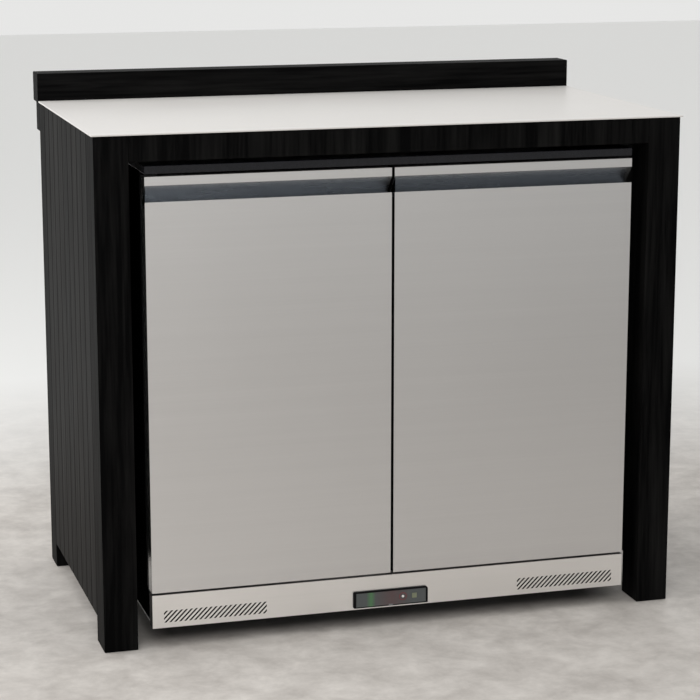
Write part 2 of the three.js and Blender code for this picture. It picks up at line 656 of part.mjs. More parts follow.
function buildMachinery() {
  const floor = BASE_BOTTOM + BASE_THICKNESS + FIT;
  const compressorX = 190;
  const compressorY = 410;
  const radius = 72;
  add('compressor', turned([
    [0, floor + 12], [radius - 24, floor + 12], [radius, floor + 40], [radius, floor + 130],
    [radius - 22, floor + 165], [0, floor + 176]], compressorX, compressorY, 32), blackCoat);
  add('compressor_mount', box(
    [compressorX - 55, compressorX + 55], [compressorY - 30, compressorY + 30],
    [floor, floor + 12 - FIT]), blackRubber);
  const coilX = [-330, -110];
  const coilZ = [floor, floor + 215];
  add('condenser_coil', finnedBlock(coilX, [330, 380], coilZ, 12), fins);
  const fanX = (coilX[0] + coilX[1]) / 2;
  const fanZ = (coilZ[0] + coilZ[1]) / 2;
  const ring = new THREE.CylinderGeometry(CONDENSER_FAN_RADIUS + 5, CONDENSER_FAN_RADIUS + 5, 100, 40);
  ring.translate(fanX, 400, fanZ);
  add('fan_shroud', cut(box(coilX, [380 + FIT, 418], coilZ), ring), galvanised);
  const blades = fan(CONDENSER_FAN_RADIUS, 26, 26, 5);
  blades.translate(fanX, 400, fanZ);
  add('condenser_fan', blades, blackPlastic);

  const louvres = [];
  for (let i = 0; i < 9; i += 1) {
    const z = 82 + i * 21;
    louvres.push(box([-260, -20], [FRIDGE_BACK - 20, FRIDGE_BACK + 20], [z, z + 9]));
    louvres.push(box([20, 260], [FRIDGE_BACK - 20, FRIDGE_BACK + 20], [z, z + 9]));
  }
  add('rear_grille', cut(
    box([-320, 320], [FRIDGE_BACK + FIT, FRIDGE_BACK + FIT + 3], [50, 290]), ...louvres), blackCoat);
}

buildCounter();
buildBody();
buildFeet();
buildPlinth();
buildController();
for (const [label, side] of sides) buildDoor(label, side);
buildShelves();
buildPilasters();
buildEvaporator();
buildMachinery();

unit.position.y = -(unitBack - WORKTOP_OVERHANG) / 2;

export default unit;
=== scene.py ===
# %% [markdown]
# # A two-door undercounter refrigerator in its timber counter
# The unit is a stainless refrigerator with two doors, built into a black-stained counter.
# The fixed frame comes first. It holds every CAD part in metres, already in its place. New
# pieces could be placed by typing coordinates, but then each change of the frame would leave
# them behind, so each piece below takes its position from a CAD part's box instead.

# %% Load the frame
import json
import math

import bmesh
import bpy
from mathutils import Matrix, Vector


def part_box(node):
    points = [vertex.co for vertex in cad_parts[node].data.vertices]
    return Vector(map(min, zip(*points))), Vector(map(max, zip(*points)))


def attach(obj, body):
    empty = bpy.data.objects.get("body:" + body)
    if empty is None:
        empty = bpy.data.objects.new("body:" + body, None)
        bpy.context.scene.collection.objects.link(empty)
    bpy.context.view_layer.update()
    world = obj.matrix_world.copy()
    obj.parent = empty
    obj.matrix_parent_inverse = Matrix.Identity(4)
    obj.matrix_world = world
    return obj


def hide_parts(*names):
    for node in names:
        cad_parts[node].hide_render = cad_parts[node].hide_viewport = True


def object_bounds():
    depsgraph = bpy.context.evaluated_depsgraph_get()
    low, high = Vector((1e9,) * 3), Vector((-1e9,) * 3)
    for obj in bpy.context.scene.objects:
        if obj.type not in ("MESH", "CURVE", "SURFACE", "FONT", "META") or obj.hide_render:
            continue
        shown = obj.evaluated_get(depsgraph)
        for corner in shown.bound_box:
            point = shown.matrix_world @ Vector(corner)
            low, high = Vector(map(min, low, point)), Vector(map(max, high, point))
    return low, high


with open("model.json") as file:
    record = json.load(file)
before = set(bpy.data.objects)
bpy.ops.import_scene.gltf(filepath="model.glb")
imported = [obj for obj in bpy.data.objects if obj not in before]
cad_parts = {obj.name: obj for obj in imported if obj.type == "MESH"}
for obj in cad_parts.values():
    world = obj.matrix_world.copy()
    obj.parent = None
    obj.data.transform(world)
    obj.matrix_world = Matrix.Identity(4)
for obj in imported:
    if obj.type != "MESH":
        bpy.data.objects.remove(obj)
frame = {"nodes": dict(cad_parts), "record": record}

cad_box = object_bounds()
nodes = frame["nodes"]
MM = 0.001
body_members = frame["record"]["behaviour"]["bodies"]
body_of_node = {node: body for body, members in body_members.items() for node in members}
print(f"{len(nodes)} CAD nodes on {len(set(body_of_node.values()))} bodies")

# %% [markdown]
# ## The camera
# The camera stands to the left of the unit, a little above the worktop, and looks slightly
# down. A Track To constraint could aim it, but two plain angles say the same and leave
# nothing live in the file. The long lens keeps the uprights almost parallel. Its place is
# measured in metres from the front of the unit, on the floor, at the middle.

# %% Camera
CAMERA_LEFT = 1.186
CAMERA_AWAY = 3.757
CAMERA_HEIGHT = 1.362
CAMERA_TURN = 16.31
CAMERA_DOWN = 12.18
LENS = 117.3
SENSOR_WIDTH = 36.0

camera_data = bpy.data.cameras.new("camera")
camera_data.lens = LENS
camera_data.sensor_width = SENSOR_WIDTH
camera = bpy.data.objects.new("camera", camera_data)
bpy.context.scene.collection.objects.link(camera)
camera.location = (-CAMERA_LEFT, cad_box[0].y - CAMERA_AWAY, CAMERA_HEIGHT)
camera.rotation_euler = (math.radians(90 - CAMERA_DOWN), 0, math.radians(-CAMERA_TURN))
bpy.context.scene.camera = camera
print("camera at", tuple(round(v, 3) for v in camera.location))

# %% [markdown]
# ## Shader maths as plain expressions
# A material is a small sum: noise times a weight, plus a base. Writing that sum with node
# calls hides it, so a socket is wrapped in a class whose operators add Math nodes. One
# method makes every other node: its settings first, and then the values of its sockets.

# %% Sockets that can be added and multiplied
class Value:
    """One output socket, with the arithmetic that the finishes use."""

    def __init__(self, finish, socket):
        self.finish, self.socket = finish, socket

    def math(self, operation, first, second=0.0):
        return self.finish.node(
            "ShaderNodeMath", "Value", {"operation": operation}, {0: first, 1: second})

    def __add__(self, other):
        return self.math("ADD", self, other)

    def __radd__(self, other):
        return self.math("ADD", other, self)

    def __sub__(self, other):
        return self.math("SUBTRACT", self, other)

    def __rsub__(self, other):
        return self.math("SUBTRACT", other, self)

    def __mul__(self, other):
        return self.math("MULTIPLY", self, other)

    def __rmul__(self, other):
        return self.math("MULTIPLY", other, self)


class Finish:
    """A material under construction, with a Principled shader at its end."""

    def __init__(self, name):
        self.material = bpy.data.materials.new(name)
        self.material.use_nodes = True
        self.tree = self.material.node_tree
        self.tree.nodes.clear()
        self.shader = self.tree.nodes.new("ShaderNodeBsdfPrincipled")
        self.output = self.tree.nodes.new("ShaderNodeOutputMaterial")
        self.tree.links.new(self.shader.outputs["BSDF"], self.output.inputs["Surface"])

    def plug(self, socket, value):
        if isinstance(value, Value):
            self.tree.links.new(value.socket, socket)
        elif isinstance(value, tuple) and len(value) == 3 and socket.type == "RGBA":
            socket.default_value = (*value, 1.0)
        else:
            socket.default_value = value

    def node(self, kind, output, settings, sockets):
        made = self.tree.nodes.new(kind)
        for name, value in settings.items():
            if name == "stops":
                self.set_stops(made.color_ramp, value)
            else:
                setattr(made, name, value)
        for name, value in sockets.items():
            self.plug(made.inputs[name], value)
        return Value(self, made.outputs[output])

    def set_stops(self, ramp, stops):
        for element, (place, colour) in zip(ramp.elements, stops[:2]):
            element.position, element.color = place, (*colour, 1.0)
        for place, colour in stops[2:]:
            ramp.elements.new(place).color = (*colour, 1.0)

    def where(self, stretch=(1, 1, 1), turn=(0, 0, 0), shift=(0, 0, 0)):
        place = self.node("ShaderNodeTexCoord", "Object", {}, {})
        return self.node("ShaderNodeMapping", "Vector", {}, {
            "Vector": place, "Scale": stretch, "Rotation": turn, "Location": shift})

    def noise(self, place, scale, detail=3.0, roughness=0.5, warp=0.0):
        return self.node("ShaderNodeTexNoise", "Fac", {}, {
            "Vector": place, "Scale": scale, "Detail": detail, "Roughness": roughness,
            "Distortion": warp})

    def ramp(self, value, *stops):
        return self.node("ShaderNodeValToRGB", "Color", {"stops": stops}, {"Fac": value})

    def mix(self, factor, first, second):
        return self.node("ShaderNodeMix", 2, {"data_type": "RGBA"}, {0: factor, 6: first, 7: second})

    def bump(self, height, strength, distance):
        return self.node("ShaderNodeBump", "Normal", {}, {
            "Height": height, "Strength": strength, "Distance": distance})

    def set(self, **sockets):
        for name, value in sockets.items():
            self.plug(self.shader.inputs[name.replace("_", " ")], value)
        return self.material


print("shader helpers ready")

# %% [markdown]
# ## Finishes
# The counter is open-grained timber under a black stain. The grain shows as slightly paler
# streaks, and its pores catch the light. A Wave texture would give rings that are too even,
# so stretched noise makes the grain: it is long along the bar and narrow across it. The same
# noise drives colour, roughness and bump, so that the three agree, as they do in real pores.

# %% Black-stained timber
STAIN_DARK = (0.0012, 0.0012, 0.0013)
STAIN_PALE = (0.0115, 0.0112, 0.0108)
GRAIN_STRETCH = {"x": (1.6, 34, 34), "y": (34, 1.6, 34), "z": (34, 34, 1.6)}


def stained_timber(name, along, shift=0.0):
    f = Finish(name)
    stretch = GRAIN_STRETCH[along]
    place = f.where(stretch, shift=(shift, shift * 1.7, shift * 0.6))
    fine = f.where(tuple(scale * 5 for scale in stretch), shift=(shift, 0, shift))
    bands = f.noise(place, 1.0, 5.0, 0.62, 0.9)
    pores = f.noise(fine, 1.0, 3.0, 0.55, 0.2)
    streaks = f.ramp(bands * 0.66 + pores * 0.34, (0.42, (0, 0, 0)), (0.72, (1, 1, 1)))
    wear = f.noise(f.where(), 9.0, 2.0)
    colour = f.mix(streaks * (wear * 0.8 + 0.45), STAIN_DARK, STAIN_PALE)
    grain = f.bump(pores * 0.6 + bands * 0.4, 0.55, 0.0012)
    return f.set(
        Base_Color=colour, Roughness=0.42 + pores * 0.26, Normal=grain, Specular_IOR_Level=0.03)


black_grain_up = stained_timber("black_stain_grain_up", "z")
black_grain_along = stained_timber("black_stain_grain_along", "x", shift=3.1)
black_grain_back = stained_timber("black_stain_grain_back", "y", shift=5.7)
print("timber finishes:", black_grain_up.name, black_grain_along.name, black_grain_back.name)

# %% [markdown]
# The side boards wear the same stain, but each board comes from another tree, so each is a
# little lighter or darker. Nine materials would do that, but one can: the distance from
# front to back, divided by the width of a board and rounded down, gives the board's number,
# and white noise turns the number into a tone.

# %% Side boards
BOARD_COUNT = 9
BOARD_DARK = (0.0016, 0.0016, 0.0016)
BOARD_PALE = (0.0140, 0.0132, 0.0122)


def board_timber(name, pitch, start):
    f = Finish(name)
    across = f.node("ShaderNodeSeparateXYZ", "Y", {}, {"Vector": f.where()})
    boards_along = (across - start) * (1 / pitch)
    number = f.node("ShaderNodeMath", "Value", {"operation": "FLOOR"}, {0: boards_along})
    tone = f.node("ShaderNodeTexWhiteNoise", "Value", {"noise_dimensions": "1D"}, {"W": number})
    bands = f.noise(f.where(GRAIN_STRETCH["z"]), 1.0, 5.0, 0.62, 0.8)
    pores = f.noise(f.where((170, 170, 7)), 1.0, 3.0)
    streaks = f.ramp(bands * 0.7 + pores * 0.3, (0.34, (0, 0, 0)), (0.74, (1, 1, 1)))
    colour = f.mix(streaks * (0.35 + tone * 0.65), BOARD_DARK, BOARD_PALE)
    return f.set(
        Base_Color=colour, Roughness=0.42 + pores * 0.25,
        Normal=f.bump(pores * 0.6 + bands * 0.4, 0.5, 0.001), Specular_IOR_Level=0.05)


boards_low, boards_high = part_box("left_side_boards")
board_pitch = (boards_high.y - boards_low.y) / BOARD_COUNT
board_finish = board_timber("stained_side_boards", board_pitch, boards_low.y)
print(f"{BOARD_COUNT} boards, {board_pitch / MM:.1f} mm wide")

# %% [markdown]
# The doors and plinth are brushed stainless steel. The brush leaves lines that are far too
# fine to see one by one, so they mostly widen the highlight. The shader's anisotropy could
# do that, but it needs a tangent on every face, and roughness alone reads the same at this
# distance. Long faint streaks and soft wiping marks are what the eye does see, so one noise
# is stretched along the brushing and another, soft and slow, changes the roughness.

# %% Stainless steel
def brushed_steel(name, tint, roughness, stretch=(2.0, 420, 420)):
    f = Finish(name)
    lines = f.noise(f.where(stretch), 1.0, 4.0, 0.7)
    streaks = f.noise(f.where(tuple(scale * 0.12 for scale in stretch)), 1.0, 3.0, 0.5)
    wipes = f.noise(f.where((1.0, 1.0, 0.55)), 3.2, 3.0, 0.5, 0.8)
    dim = tuple(channel * 0.90 for channel in tint)
    colour = f.mix(lines * 0.5 + streaks * 0.5, dim, tint)
    rough = roughness + (wipes - 0.5) * 0.07 + (lines - 0.5) * 0.06
    return f.set(
        Base_Color=colour, Metallic=1.0, Roughness=rough,
        Normal=f.bump(lines, 0.10, 0.0003))


door_steel = brushed_steel("brushed_stainless_door", (0.755, 0.746, 0.738), 0.34)
# The grip channel is a little more polished, and its darker blue-grey tint is painted shade and
# reflection in the recess.
grip_steel_shaded = brushed_steel("polished_grip_channel_shaded", (0.49, 0.51, 0.535), 0.27, (3.0, 60, 60))
# The plinth's lighter tint than the doors' is painted light, for the brighter light on the plinth.
plinth_steel_lit = brushed_steel("brushed_stainless_plinth_lit", (0.95, 0.935, 0.915), 0.30)
fold_steel = brushed_steel("folded_door_edge", (0.50, 0.50, 0.50), 0.14)
plated_steel = brushed_steel("zinc_plated_steel", (0.55, 0.56, 0.57), 0.36, (60, 60, 60))
print("steel finishes:", door_steel.name, plinth_steel_lit.name, plated_steel.name)

# %% [markdown]
# The other finishes are quieter: a satin laminate with a faint mottle, gloss and satin black
# paint with orange peel, moulded plastics, rubber, wire coating, aluminium, copper and foam.
# Each could have its own function, but they differ only in numbers, so one function makes
# them all. Its numbers are two colours, the size of the mottle, the roughness, and the size
# and depth of the surface's texture.

# %% Painted, moulded and coated finishes
def coated(name, base, spot, grain, roughness, texture, depth, metallic=0.0, shine=0.5):
    f = Finish(name)
    mottle = f.noise(f.where(), grain, 4.0, 0.6)
    skin = f.noise(f.where(), texture, 2.0, 0.5)
    wear = f.noise(f.where(), 6.0, 3.0, 0.5, 0.5)
    colour = f.mix(f.ramp(mottle, (0.35, (0, 0, 0)), (0.7, (1, 1, 1))), base, spot)
    rough = roughness + (wear - 0.5) * 0.12 + (skin - 0.5) * 0.06
    return f.set(
        Base_Color=colour, Metallic=metallic, Roughness=rough, Specular_IOR_Level=shine,
        Normal=f.bump(skin, 0.35, depth))


laminate = coated(
    "white_laminate", (0.69, 0.672, 0.65), (0.665, 0.645, 0.622), 260, 0.36, 900, 0.00004,
    shine=0.35)
gloss_black = coated(
    "gloss_black_lid", (0.006, 0.006, 0.008), (0.009, 0.009, 0.012), 90, 0.16, 260, 0.00006,
    shine=0.3)
satin_black = coated(
    "satin_black_coat", (0.005, 0.005, 0.0055), (0.009, 0.009, 0.010), 300, 0.45, 700, 0.0001,
    shine=0.12)
moulded_black = coated(
    "moulded_black", (0.004, 0.004, 0.0043), (0.008, 0.008, 0.0085), 400, 0.48, 1400, 0.00008,
    shine=0.08)
# A darker, unreflective black: painted shade on the casing, apart from its back, and on the pads
# behind the grilles.
shaded_casing_black = coated(
    "matte_black_casing_shaded", (0.0016, 0.0016, 0.0017), (0.0030, 0.0030, 0.0032), 300, 0.8, 700,
    0.0001, shine=0.0)
rubber = coated(
    "black_rubber", (0.014, 0.014, 0.0145), (0.024, 0.024, 0.024), 250, 0.72, 900, 0.00012)
liner_white = coated(
    "cabin_white", (0.74, 0.75, 0.75), (0.70, 0.71, 0.715), 60, 0.32, 350, 0.00006)
wire_white = coated(
    "coated_wire", (0.66, 0.67, 0.68), (0.60, 0.61, 0.62), 180, 0.30, 500, 0.00005)
foam_cream = coated(
    "rigid_foam", (0.66, 0.56, 0.36), (0.52, 0.43, 0.26), 220, 0.88, 420, 0.0004)
fin_metal = coated(
    "mill_aluminium", (0.66, 0.67, 0.68), (0.56, 0.57, 0.58), 300, 0.38, 800, 0.00005,
    metallic=1.0)
copper = coated(
    "copper_pipe", (0.72, 0.36, 0.22), (0.50, 0.24, 0.14), 70, 0.32, 400, 0.00005, metallic=1.0)
key_white = coated("key_white", (0.78, 0.76, 0.73), (0.74, 0.72, 0.69), 900, 0.35, 2000, 0.00002)
key_olive = coated("key_olive", (0.20, 0.215, 0.14), (0.16, 0.175, 0.115), 900, 0.42, 2000, 0.00002)
print("coated finishes ready")

# %% [markdown]
# ## Making a piece
# A finished piece is a mesh whose object sits at the origin, so all of its place is in its
# mesh. A few small helpers do the bookkeeping. One turns a bmesh into an object. Two say
# which body a piece rides on: one for a piece that stands for a CAD node, and one for added
# detail. Another gives some faces of a piece a second finish, picked by a test.

# %% Helpers for pieces
def finished(name, mesh, material, smooth=None):
    data = bpy.data.meshes.new(name)
    mesh.to_mesh(data)
    mesh.free()
    data.materials.append(material)
    piece = bpy.data.objects.new(name, data)
    bpy.context.scene.collection.objects.link(piece)
    if smooth is not None:
        data.polygons.foreach_set("use_smooth", [True] * len(data.polygons))
        data.set_sharp_from_angle(angle=math.radians(smooth))
    return piece


def stands_for(piece, *replaced):
    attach(piece, body_of_node[replaced[0]])
    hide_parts(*replaced)
    return piece


def detail_on(piece, body):
    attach(piece, body)
    return piece


def second_finish(piece, material, wanted):
    """Puts one more finish on the faces that a test on place and direction picks."""
    piece.data.materials.append(material)
    number = len(piece.data.materials) - 1
    picked = [face for face in piece.data.polygons if wanted(face.center, face.normal)]
    for face in picked:
        face.material_index = number
    return len(picked)


def even_shading(piece):
    piece.data.polygons.foreach_set("use_smooth", [True] * len(piece.data.polygons))
    weighted = piece.modifiers.new("even_shading", "WEIGHTED_NORMAL")
    weighted.mode = "FACE_AREA"
    weighted.weight = 100
    return piece


print("piece helpers ready")

# %% [markdown]
# Real edges are never perfectly sharp, and the small radius is what catches a line of light.
# A Bevel modifier could add it, but a CAD mesh is loose triangles, so its corners first have
# to be merged and its flat faces joined. That is done on a copy, and then bmesh bevels only
# the edges that are really sharp. Weighted normals keep the large flat faces flat.

# %% Softened edges
WELD = 0.02 * MM
FLAT_ANGLE = 0.5
SHARP_ANGLE = 30


def bevel_edges(mesh, edges, width, segments):
    bmesh.ops.bevel(
        mesh, geom=edges, offset=width, offset_type="OFFSET", segments=segments, profile=0.5,
        affect="EDGES", clamp_overlap=True, material=-1)


def softened(node, width, material, segments=2, name=None):
    mesh = bmesh.new()
    mesh.from_mesh(nodes[node].data)
    bmesh.ops.remove_doubles(mesh, verts=mesh.verts, dist=WELD)
    bmesh.ops.dissolve_limit(
        mesh, angle_limit=math.radians(FLAT_ANGLE), verts=mesh.verts, edges=mesh.edges)
    limit = math.radians(SHARP_ANGLE)
    sharp = [e for e in mesh.edges if e.is_manifold and e.calc_face_angle(0) > limit]
    bevel_edges(mesh, sharp, width, segments)
    piece = finished(name or f"{node}_piece", mesh, material)
    return stands_for(even_shading(piece), node)


def block(mesh, low, high):
    """Adds one box to a bmesh and returns its vertices."""
    low, high = Vector(low), Vector(high)
    made = bmesh.ops.create_cube(mesh, size=1.0)["verts"]
    bmesh.ops.scale(mesh, vec=high - low, verts=made)
    bmesh.ops.translate(mesh, vec=(low + high) / 2, verts=made)
    return made


print("edge helpers ready")

# %% [markdown]
# ## The counter's timber
# Legs, rails and apron are planed timber. A maker eases such edges with one pass of a plane,
# so each bar is a box with its edges bevelled by about a millimetre. The boxes are made anew
# from the CAD parts' corners, because that is shorter than cleaning a copy of each mesh.

# %% Bars
PLANED_EDGE = 1.1 * MM
UPSTAND_EDGE = 1.4 * MM


def timber_bar(node, material, ease=PLANED_EDGE):
    mesh = bmesh.new()
    block(mesh, *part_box(node))
    bevel_edges(mesh, mesh.edges[:], ease, 3)
    return stands_for(even_shading(finished(f"{node}_timber", mesh, material)), node)


for label in ("left", "right"):
    timber_bar(f"front_{label}_leg", black_grain_up)
    timber_bar(f"rear_{label}_leg", black_grain_up)
    timber_bar(f"{label}_top_rail", black_grain_back)
timber_bar("apron", black_grain_up)
timber_bar("deck_board", black_grain_along)
timber_bar("rear_rail", black_grain_along)
timber_bar("upstand", black_grain_along, UPSTAND_EDGE)
print("timber bars: 10")

# %% [markdown]
# The sides are upright boards. Where two meet, both edges are chamfered, and the two chamfers
# make the V groove that is seen. The groove could be bump in the material, but then it would
# have no outline at the bottom edge, so each board is its own block with its outer upright
# edges bevelled, and the groove comes out by itself.

# %% Side boards
BOARD_JOINT = 0.05 * MM
BOARD_CHAMFER = 2.6 * MM


def side_boards(label):
    low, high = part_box(f"{label}_side_boards")
    outer = low.x if label == "left" else high.x
    mesh = bmesh.new()
    for i in range(BOARD_COUNT):
        front = low.y + i * board_pitch + BOARD_JOINT
        back = low.y + (i + 1) * board_pitch - BOARD_JOINT
        block(mesh, (low.x, front, low.z), (high.x, back, high.z))
    long_edges = [
        e for e in mesh.edges
        if abs(e.verts[0].co.x - outer) < MM and abs(e.verts[1].co.x - outer) < MM
        and abs(e.verts[0].co.z - e.verts[1].co.z) > 0.1]
    bevel_edges(mesh, long_edges, BOARD_CHAMFER, 2)
    piece = finished(f"{label}_side_boards_timber", mesh, board_finish)
    return stands_for(even_shading(piece), f"{label}_side_boards")


for label in ("left", "right"):
    side_boards(label)
print("side boards made")

# %% [markdown]
# ## The worktop
# The worktop is a thin sheet with a softly rounded edge. A Solidify modifier on a flat plane
# could give the thickness, but a bevelled block says the same in one step. The sheet is only
# three millimetres thick, so the rounding is kept under half of that.

# %% Worktop
WORKTOP_ROUND = 1.0 * MM


def worktop():
    mesh = bmesh.new()
    block(mesh, *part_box("worktop"))
    bevel_edges(mesh, mesh.edges[:], WORKTOP_ROUND, 4)
    return stands_for(even_shading(finished("worktop_sheet", mesh, laminate)), "worktop")


worktop()
print("worktop made")

# %% [markdown]
# ## The sheet-metal shell
# Each door is a skin folded from stainless sheet. A channel along its top is the grip, and
# the plain strip above it closes the door's face. The CAD shape is right, so a copy of it is
# kept, and a narrow bevel gives every fold its small radius. The channel is a little more
# polished, and its darker blue-grey colour is painted shade and reflection in the recess. The
# closing edge is painted black as the shade in the gap between the doors, and the hinge edge
# is bright, so those faces get their own finish.
# That is simpler than cutting the door into four pieces, and the folds stay closed.

# %% Door skins
FOLD = 0.55 * MM
STRIP_BOTTOM = 819.4 * MM
LIP_TOP = 791 * MM
CHANNEL_DEEP = 12 * MM
SKIN_FACE = 2 * MM
EDGE_BAND = 0.4 * MM


def door_skin(label):
    low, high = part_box(f"{label}_door_skin")
    closing, hinged = (high.x, low.x) if label == "left" else (low.x, high.x)
    piece = softened(f"{label}_door_skin", FOLD, door_steel)

    def in_channel(at, out):
        behind_face = at.y > low.y + SKIN_FACE and abs(out.x) < 0.5
        return behind_face and LIP_TOP - CHANNEL_DEEP < at.z < STRIP_BOTTOM + MM

    # The closing edge is painted black as the shade in the gap between the doors.
    def on_gap_shade_edge(at, out):
        return abs(at.x - closing) < EDGE_BAND and abs(out.x) > 0.5

    def on_hinge_edge(at, out):
        return abs(at.x - hinged) < EDGE_BAND and abs(out.x) > 0.5

    channel = second_finish(piece, grip_steel_shaded, in_channel)
    edge = second_finish(piece, moulded_black, on_gap_shade_edge)
    fold = second_finish(piece, fold_steel, on_hinge_edge)
    print(f"{label} door skin: {channel} channel, {edge} closing edge and {fold} hinge edge faces")


def door_core(label):
    piece = softened(f"{label}_door_core", 0.6 * MM, foam_cream, 1)
    second_finish(piece, moulded_black, lambda at, out: abs(out.y) < 0.7)


for label in ("left", "right"):
    door_skin(label)
    door_core(label)

# %% [markdown]
# The plinth is one folded sheet with slanted slots near both ends, and the lid is a gloss
# black sheet over the cabinet. Both keep their CAD shapes. The plinth's ends, its back and
# the walls of its slots are painted black as shade, so that the slots look deep. Painting
# those faces does it without a second piece in each slot.

# %% Plinth and lid
PLINTH_FOLD = 0.3 * MM
LID_ROUND = 1.2 * MM
SLOT_MARGIN = 4 * MM
SLOT_DEPTH = 3 * MM
SLOTS_FROM = 0.15
plinth_low, plinth_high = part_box("plinth_panel")


# Picks the faces painted black as shade: the plinth's ends, its back and the walls of its slots.
def shaded_in_plinth(at, out):
    on_end = abs(out.x) > 0.9 and abs(abs(at.x) - plinth_high.x) < PLINTH_FOLD
    in_height = plinth_low.z + SLOT_MARGIN < at.z < plinth_high.z - SLOT_MARGIN
    in_width = SLOTS_FROM < abs(at.x) < plinth_high.x - SLOT_MARGIN
    in_sheet = abs(out.y) < 0.95 and at.y < plinth_low.y + SLOT_DEPTH
    return on_end or out.y > 0.5 or (in_height and in_width and in_sheet)


plinth = softened("plinth_panel", PLINTH_FOLD, plinth_steel_lit, 1)
painted_shade_faces = second_finish(plinth, satin_black, shaded_in_plinth)
softened("top_panel", LID_ROUND, gloss_black, 3)
print(f"plinth and lid made, {painted_shade_faces} black faces on the plinth")

# %% [markdown]
# Behind each grille in the plinth lies a thin black pad, a dark sheet that stands for the
# shade behind the slots. Without it light from behind would come through the slots, and they
# would look grey from outside. A bevelled slab is enough, because only slivers of it are seen.

# %% Shade pads behind the grilles
PAD_REACH = (236 * MM, 428 * MM)
PAD_DEPTH = (1.5 * MM, 4.5 * MM)
PAD_HEIGHT = (7 * MM, 35 * MM)
PAD_EDGE = 0.8 * MM


# A black pad behind one grille, standing in for the shade behind its slots.
def slot_shade_pad(label, side):
    near, far = sorted(side * reach for reach in PAD_REACH)
    front, back = (plinth_low.y + depth for depth in PAD_DEPTH)
    bottom, top = (plinth_low.z + height for height in PAD_HEIGHT)
    mesh = bmesh.new()
    block(mesh, (near, front, bottom), (far, back, top))
    bevel_edges(mesh, mesh.edges[:], PAD_EDGE, 2)
    piece = finished(f"{label}_slot_shade_pad", mesh, shaded_casing_black)
    return detail_on(even_shading(piece), body_of_node["plinth_panel"])


slot_shade_pad("left", -1)
slot_shade_pad("right", 1)
print("dust pads made")

# %% [markdown]
# The grip channel is open at both ends of a door, and the foam would show there. A thin black
# end cap closes it. A plain rectangle would block the channel itself, so the cap starts as
# one face with the outline of the door's section behind the channel, and is extruded.

# %% End caps
CAP_THICK = 0.9 * MM
CAP_INSET = 0.35 * MM
SKIN_BACK = 28.3 * MM
CHANNEL_BACK = 34 * MM
CHANNEL_FLOOR = LIP_TOP - 8 * MM
CHANNEL_UNDERSIDE = LIP_TOP - 12.8 * MM


def end_caps(label):
    low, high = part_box(f"{label}_door_skin")
    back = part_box(f"{label}_door_inner_panel")[0].y - 0.1 * MM
    top = high.z - 1.6 * MM
    strip = STRIP_BOTTOM + 3 * MM
    section = (
        (low.y + 2.2 * MM, strip), (low.y + CHANNEL_BACK, CHANNEL_FLOOR),
        (low.y + CHANNEL_BACK, CHANNEL_UNDERSIDE), (back, CHANNEL_UNDERSIDE), (back, top),
        (low.y + SKIN_BACK, top), (low.y + SKIN_BACK, strip))
    mesh = bmesh.new()
    for x, run in ((low.x + CAP_INSET, CAP_THICK), (high.x - CAP_INSET, -CAP_THICK)):
        face = mesh.faces.new([mesh.verts.new((x, y, z)) for y, z in section])
        made = bmesh.ops.extrude_face_region(mesh, geom=[face])["geom"]
        moved = [part for part in made if isinstance(part, bmesh.types.BMVert)]
        bmesh.ops.translate(mesh, vec=(run, 0, 0), verts=moved)
    bmesh.ops.recalc_face_normals(mesh, faces=mesh.faces)
    piece = finished(f"{label}_channel_end_caps", mesh, moulded_black)
    return detail_on(piece, body_of_node[f"{label}_door_skin"])


for label in ("left", "right"):
    end_caps(label)
print("end caps made")

# %% [markdown]
# Behind each skin is a moulded inner panel. Its back is a shallow dish with rounded corners.
# A Boolean could cut the dish, but it leaves long thin faces. Two insets of the back face do
# it cleanly: the first makes the flat border, and the second makes the slope and pushes the
# middle in. The corners are rounded last, because an inset of a rounded outline crosses
# itself.

# %% Inner door panels
DISH_BORDER = 36 * MM
DISH_SLOPE = 4 * MM
DISH_DEPTH = 2.2 * MM
DISH_CORNER = 7 * MM


def inner_panel(label):
    low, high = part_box(f"{label}_door_inner_panel")
    mesh = bmesh.new()
    block(mesh, low, high)
    outer = [e for e in mesh.edges if abs(e.verts[0].co.y - e.verts[1].co.y) > MM]
    back = max(mesh.faces, key=lambda face: face.calc_center_median().y)
    bmesh.ops.inset_region(mesh, faces=[back], thickness=DISH_BORDER, depth=0.0)
    slope = set(bmesh.ops.inset_region(
        mesh, faces=[back], thickness=DISH_SLOPE, depth=-DISH_DEPTH)["faces"])
    inner = [e for e in mesh.edges if len(slope.intersection(e.link_faces)) == 2]
    bevel_edges(mesh, outer + inner, DISH_CORNER, 5)
    piece = finished(f"{label}_inner_panel_piece", mesh, liner_white)
    print(f"{label} inner panel: {len(outer)} outer corners and {len(inner)} dish corners rounded")
    return stands_for(even_shading(piece), f"{label}_door_inner_panel")


for label in ("left", "right"):
    inner_panel(label)

# %% [markdown]
# Between the skin and the inner panel the foam would show as a cream line round the door. A
# black plastic profile covers it on all four edges. It could be a curve with a bevel, but
# four thin slabs with eased edges match the four cut lengths of a real profile.

# %% Door edge profiles
PROFILE_INSET = 0.25 * MM
PROFILE_THICK = 1.1 * MM


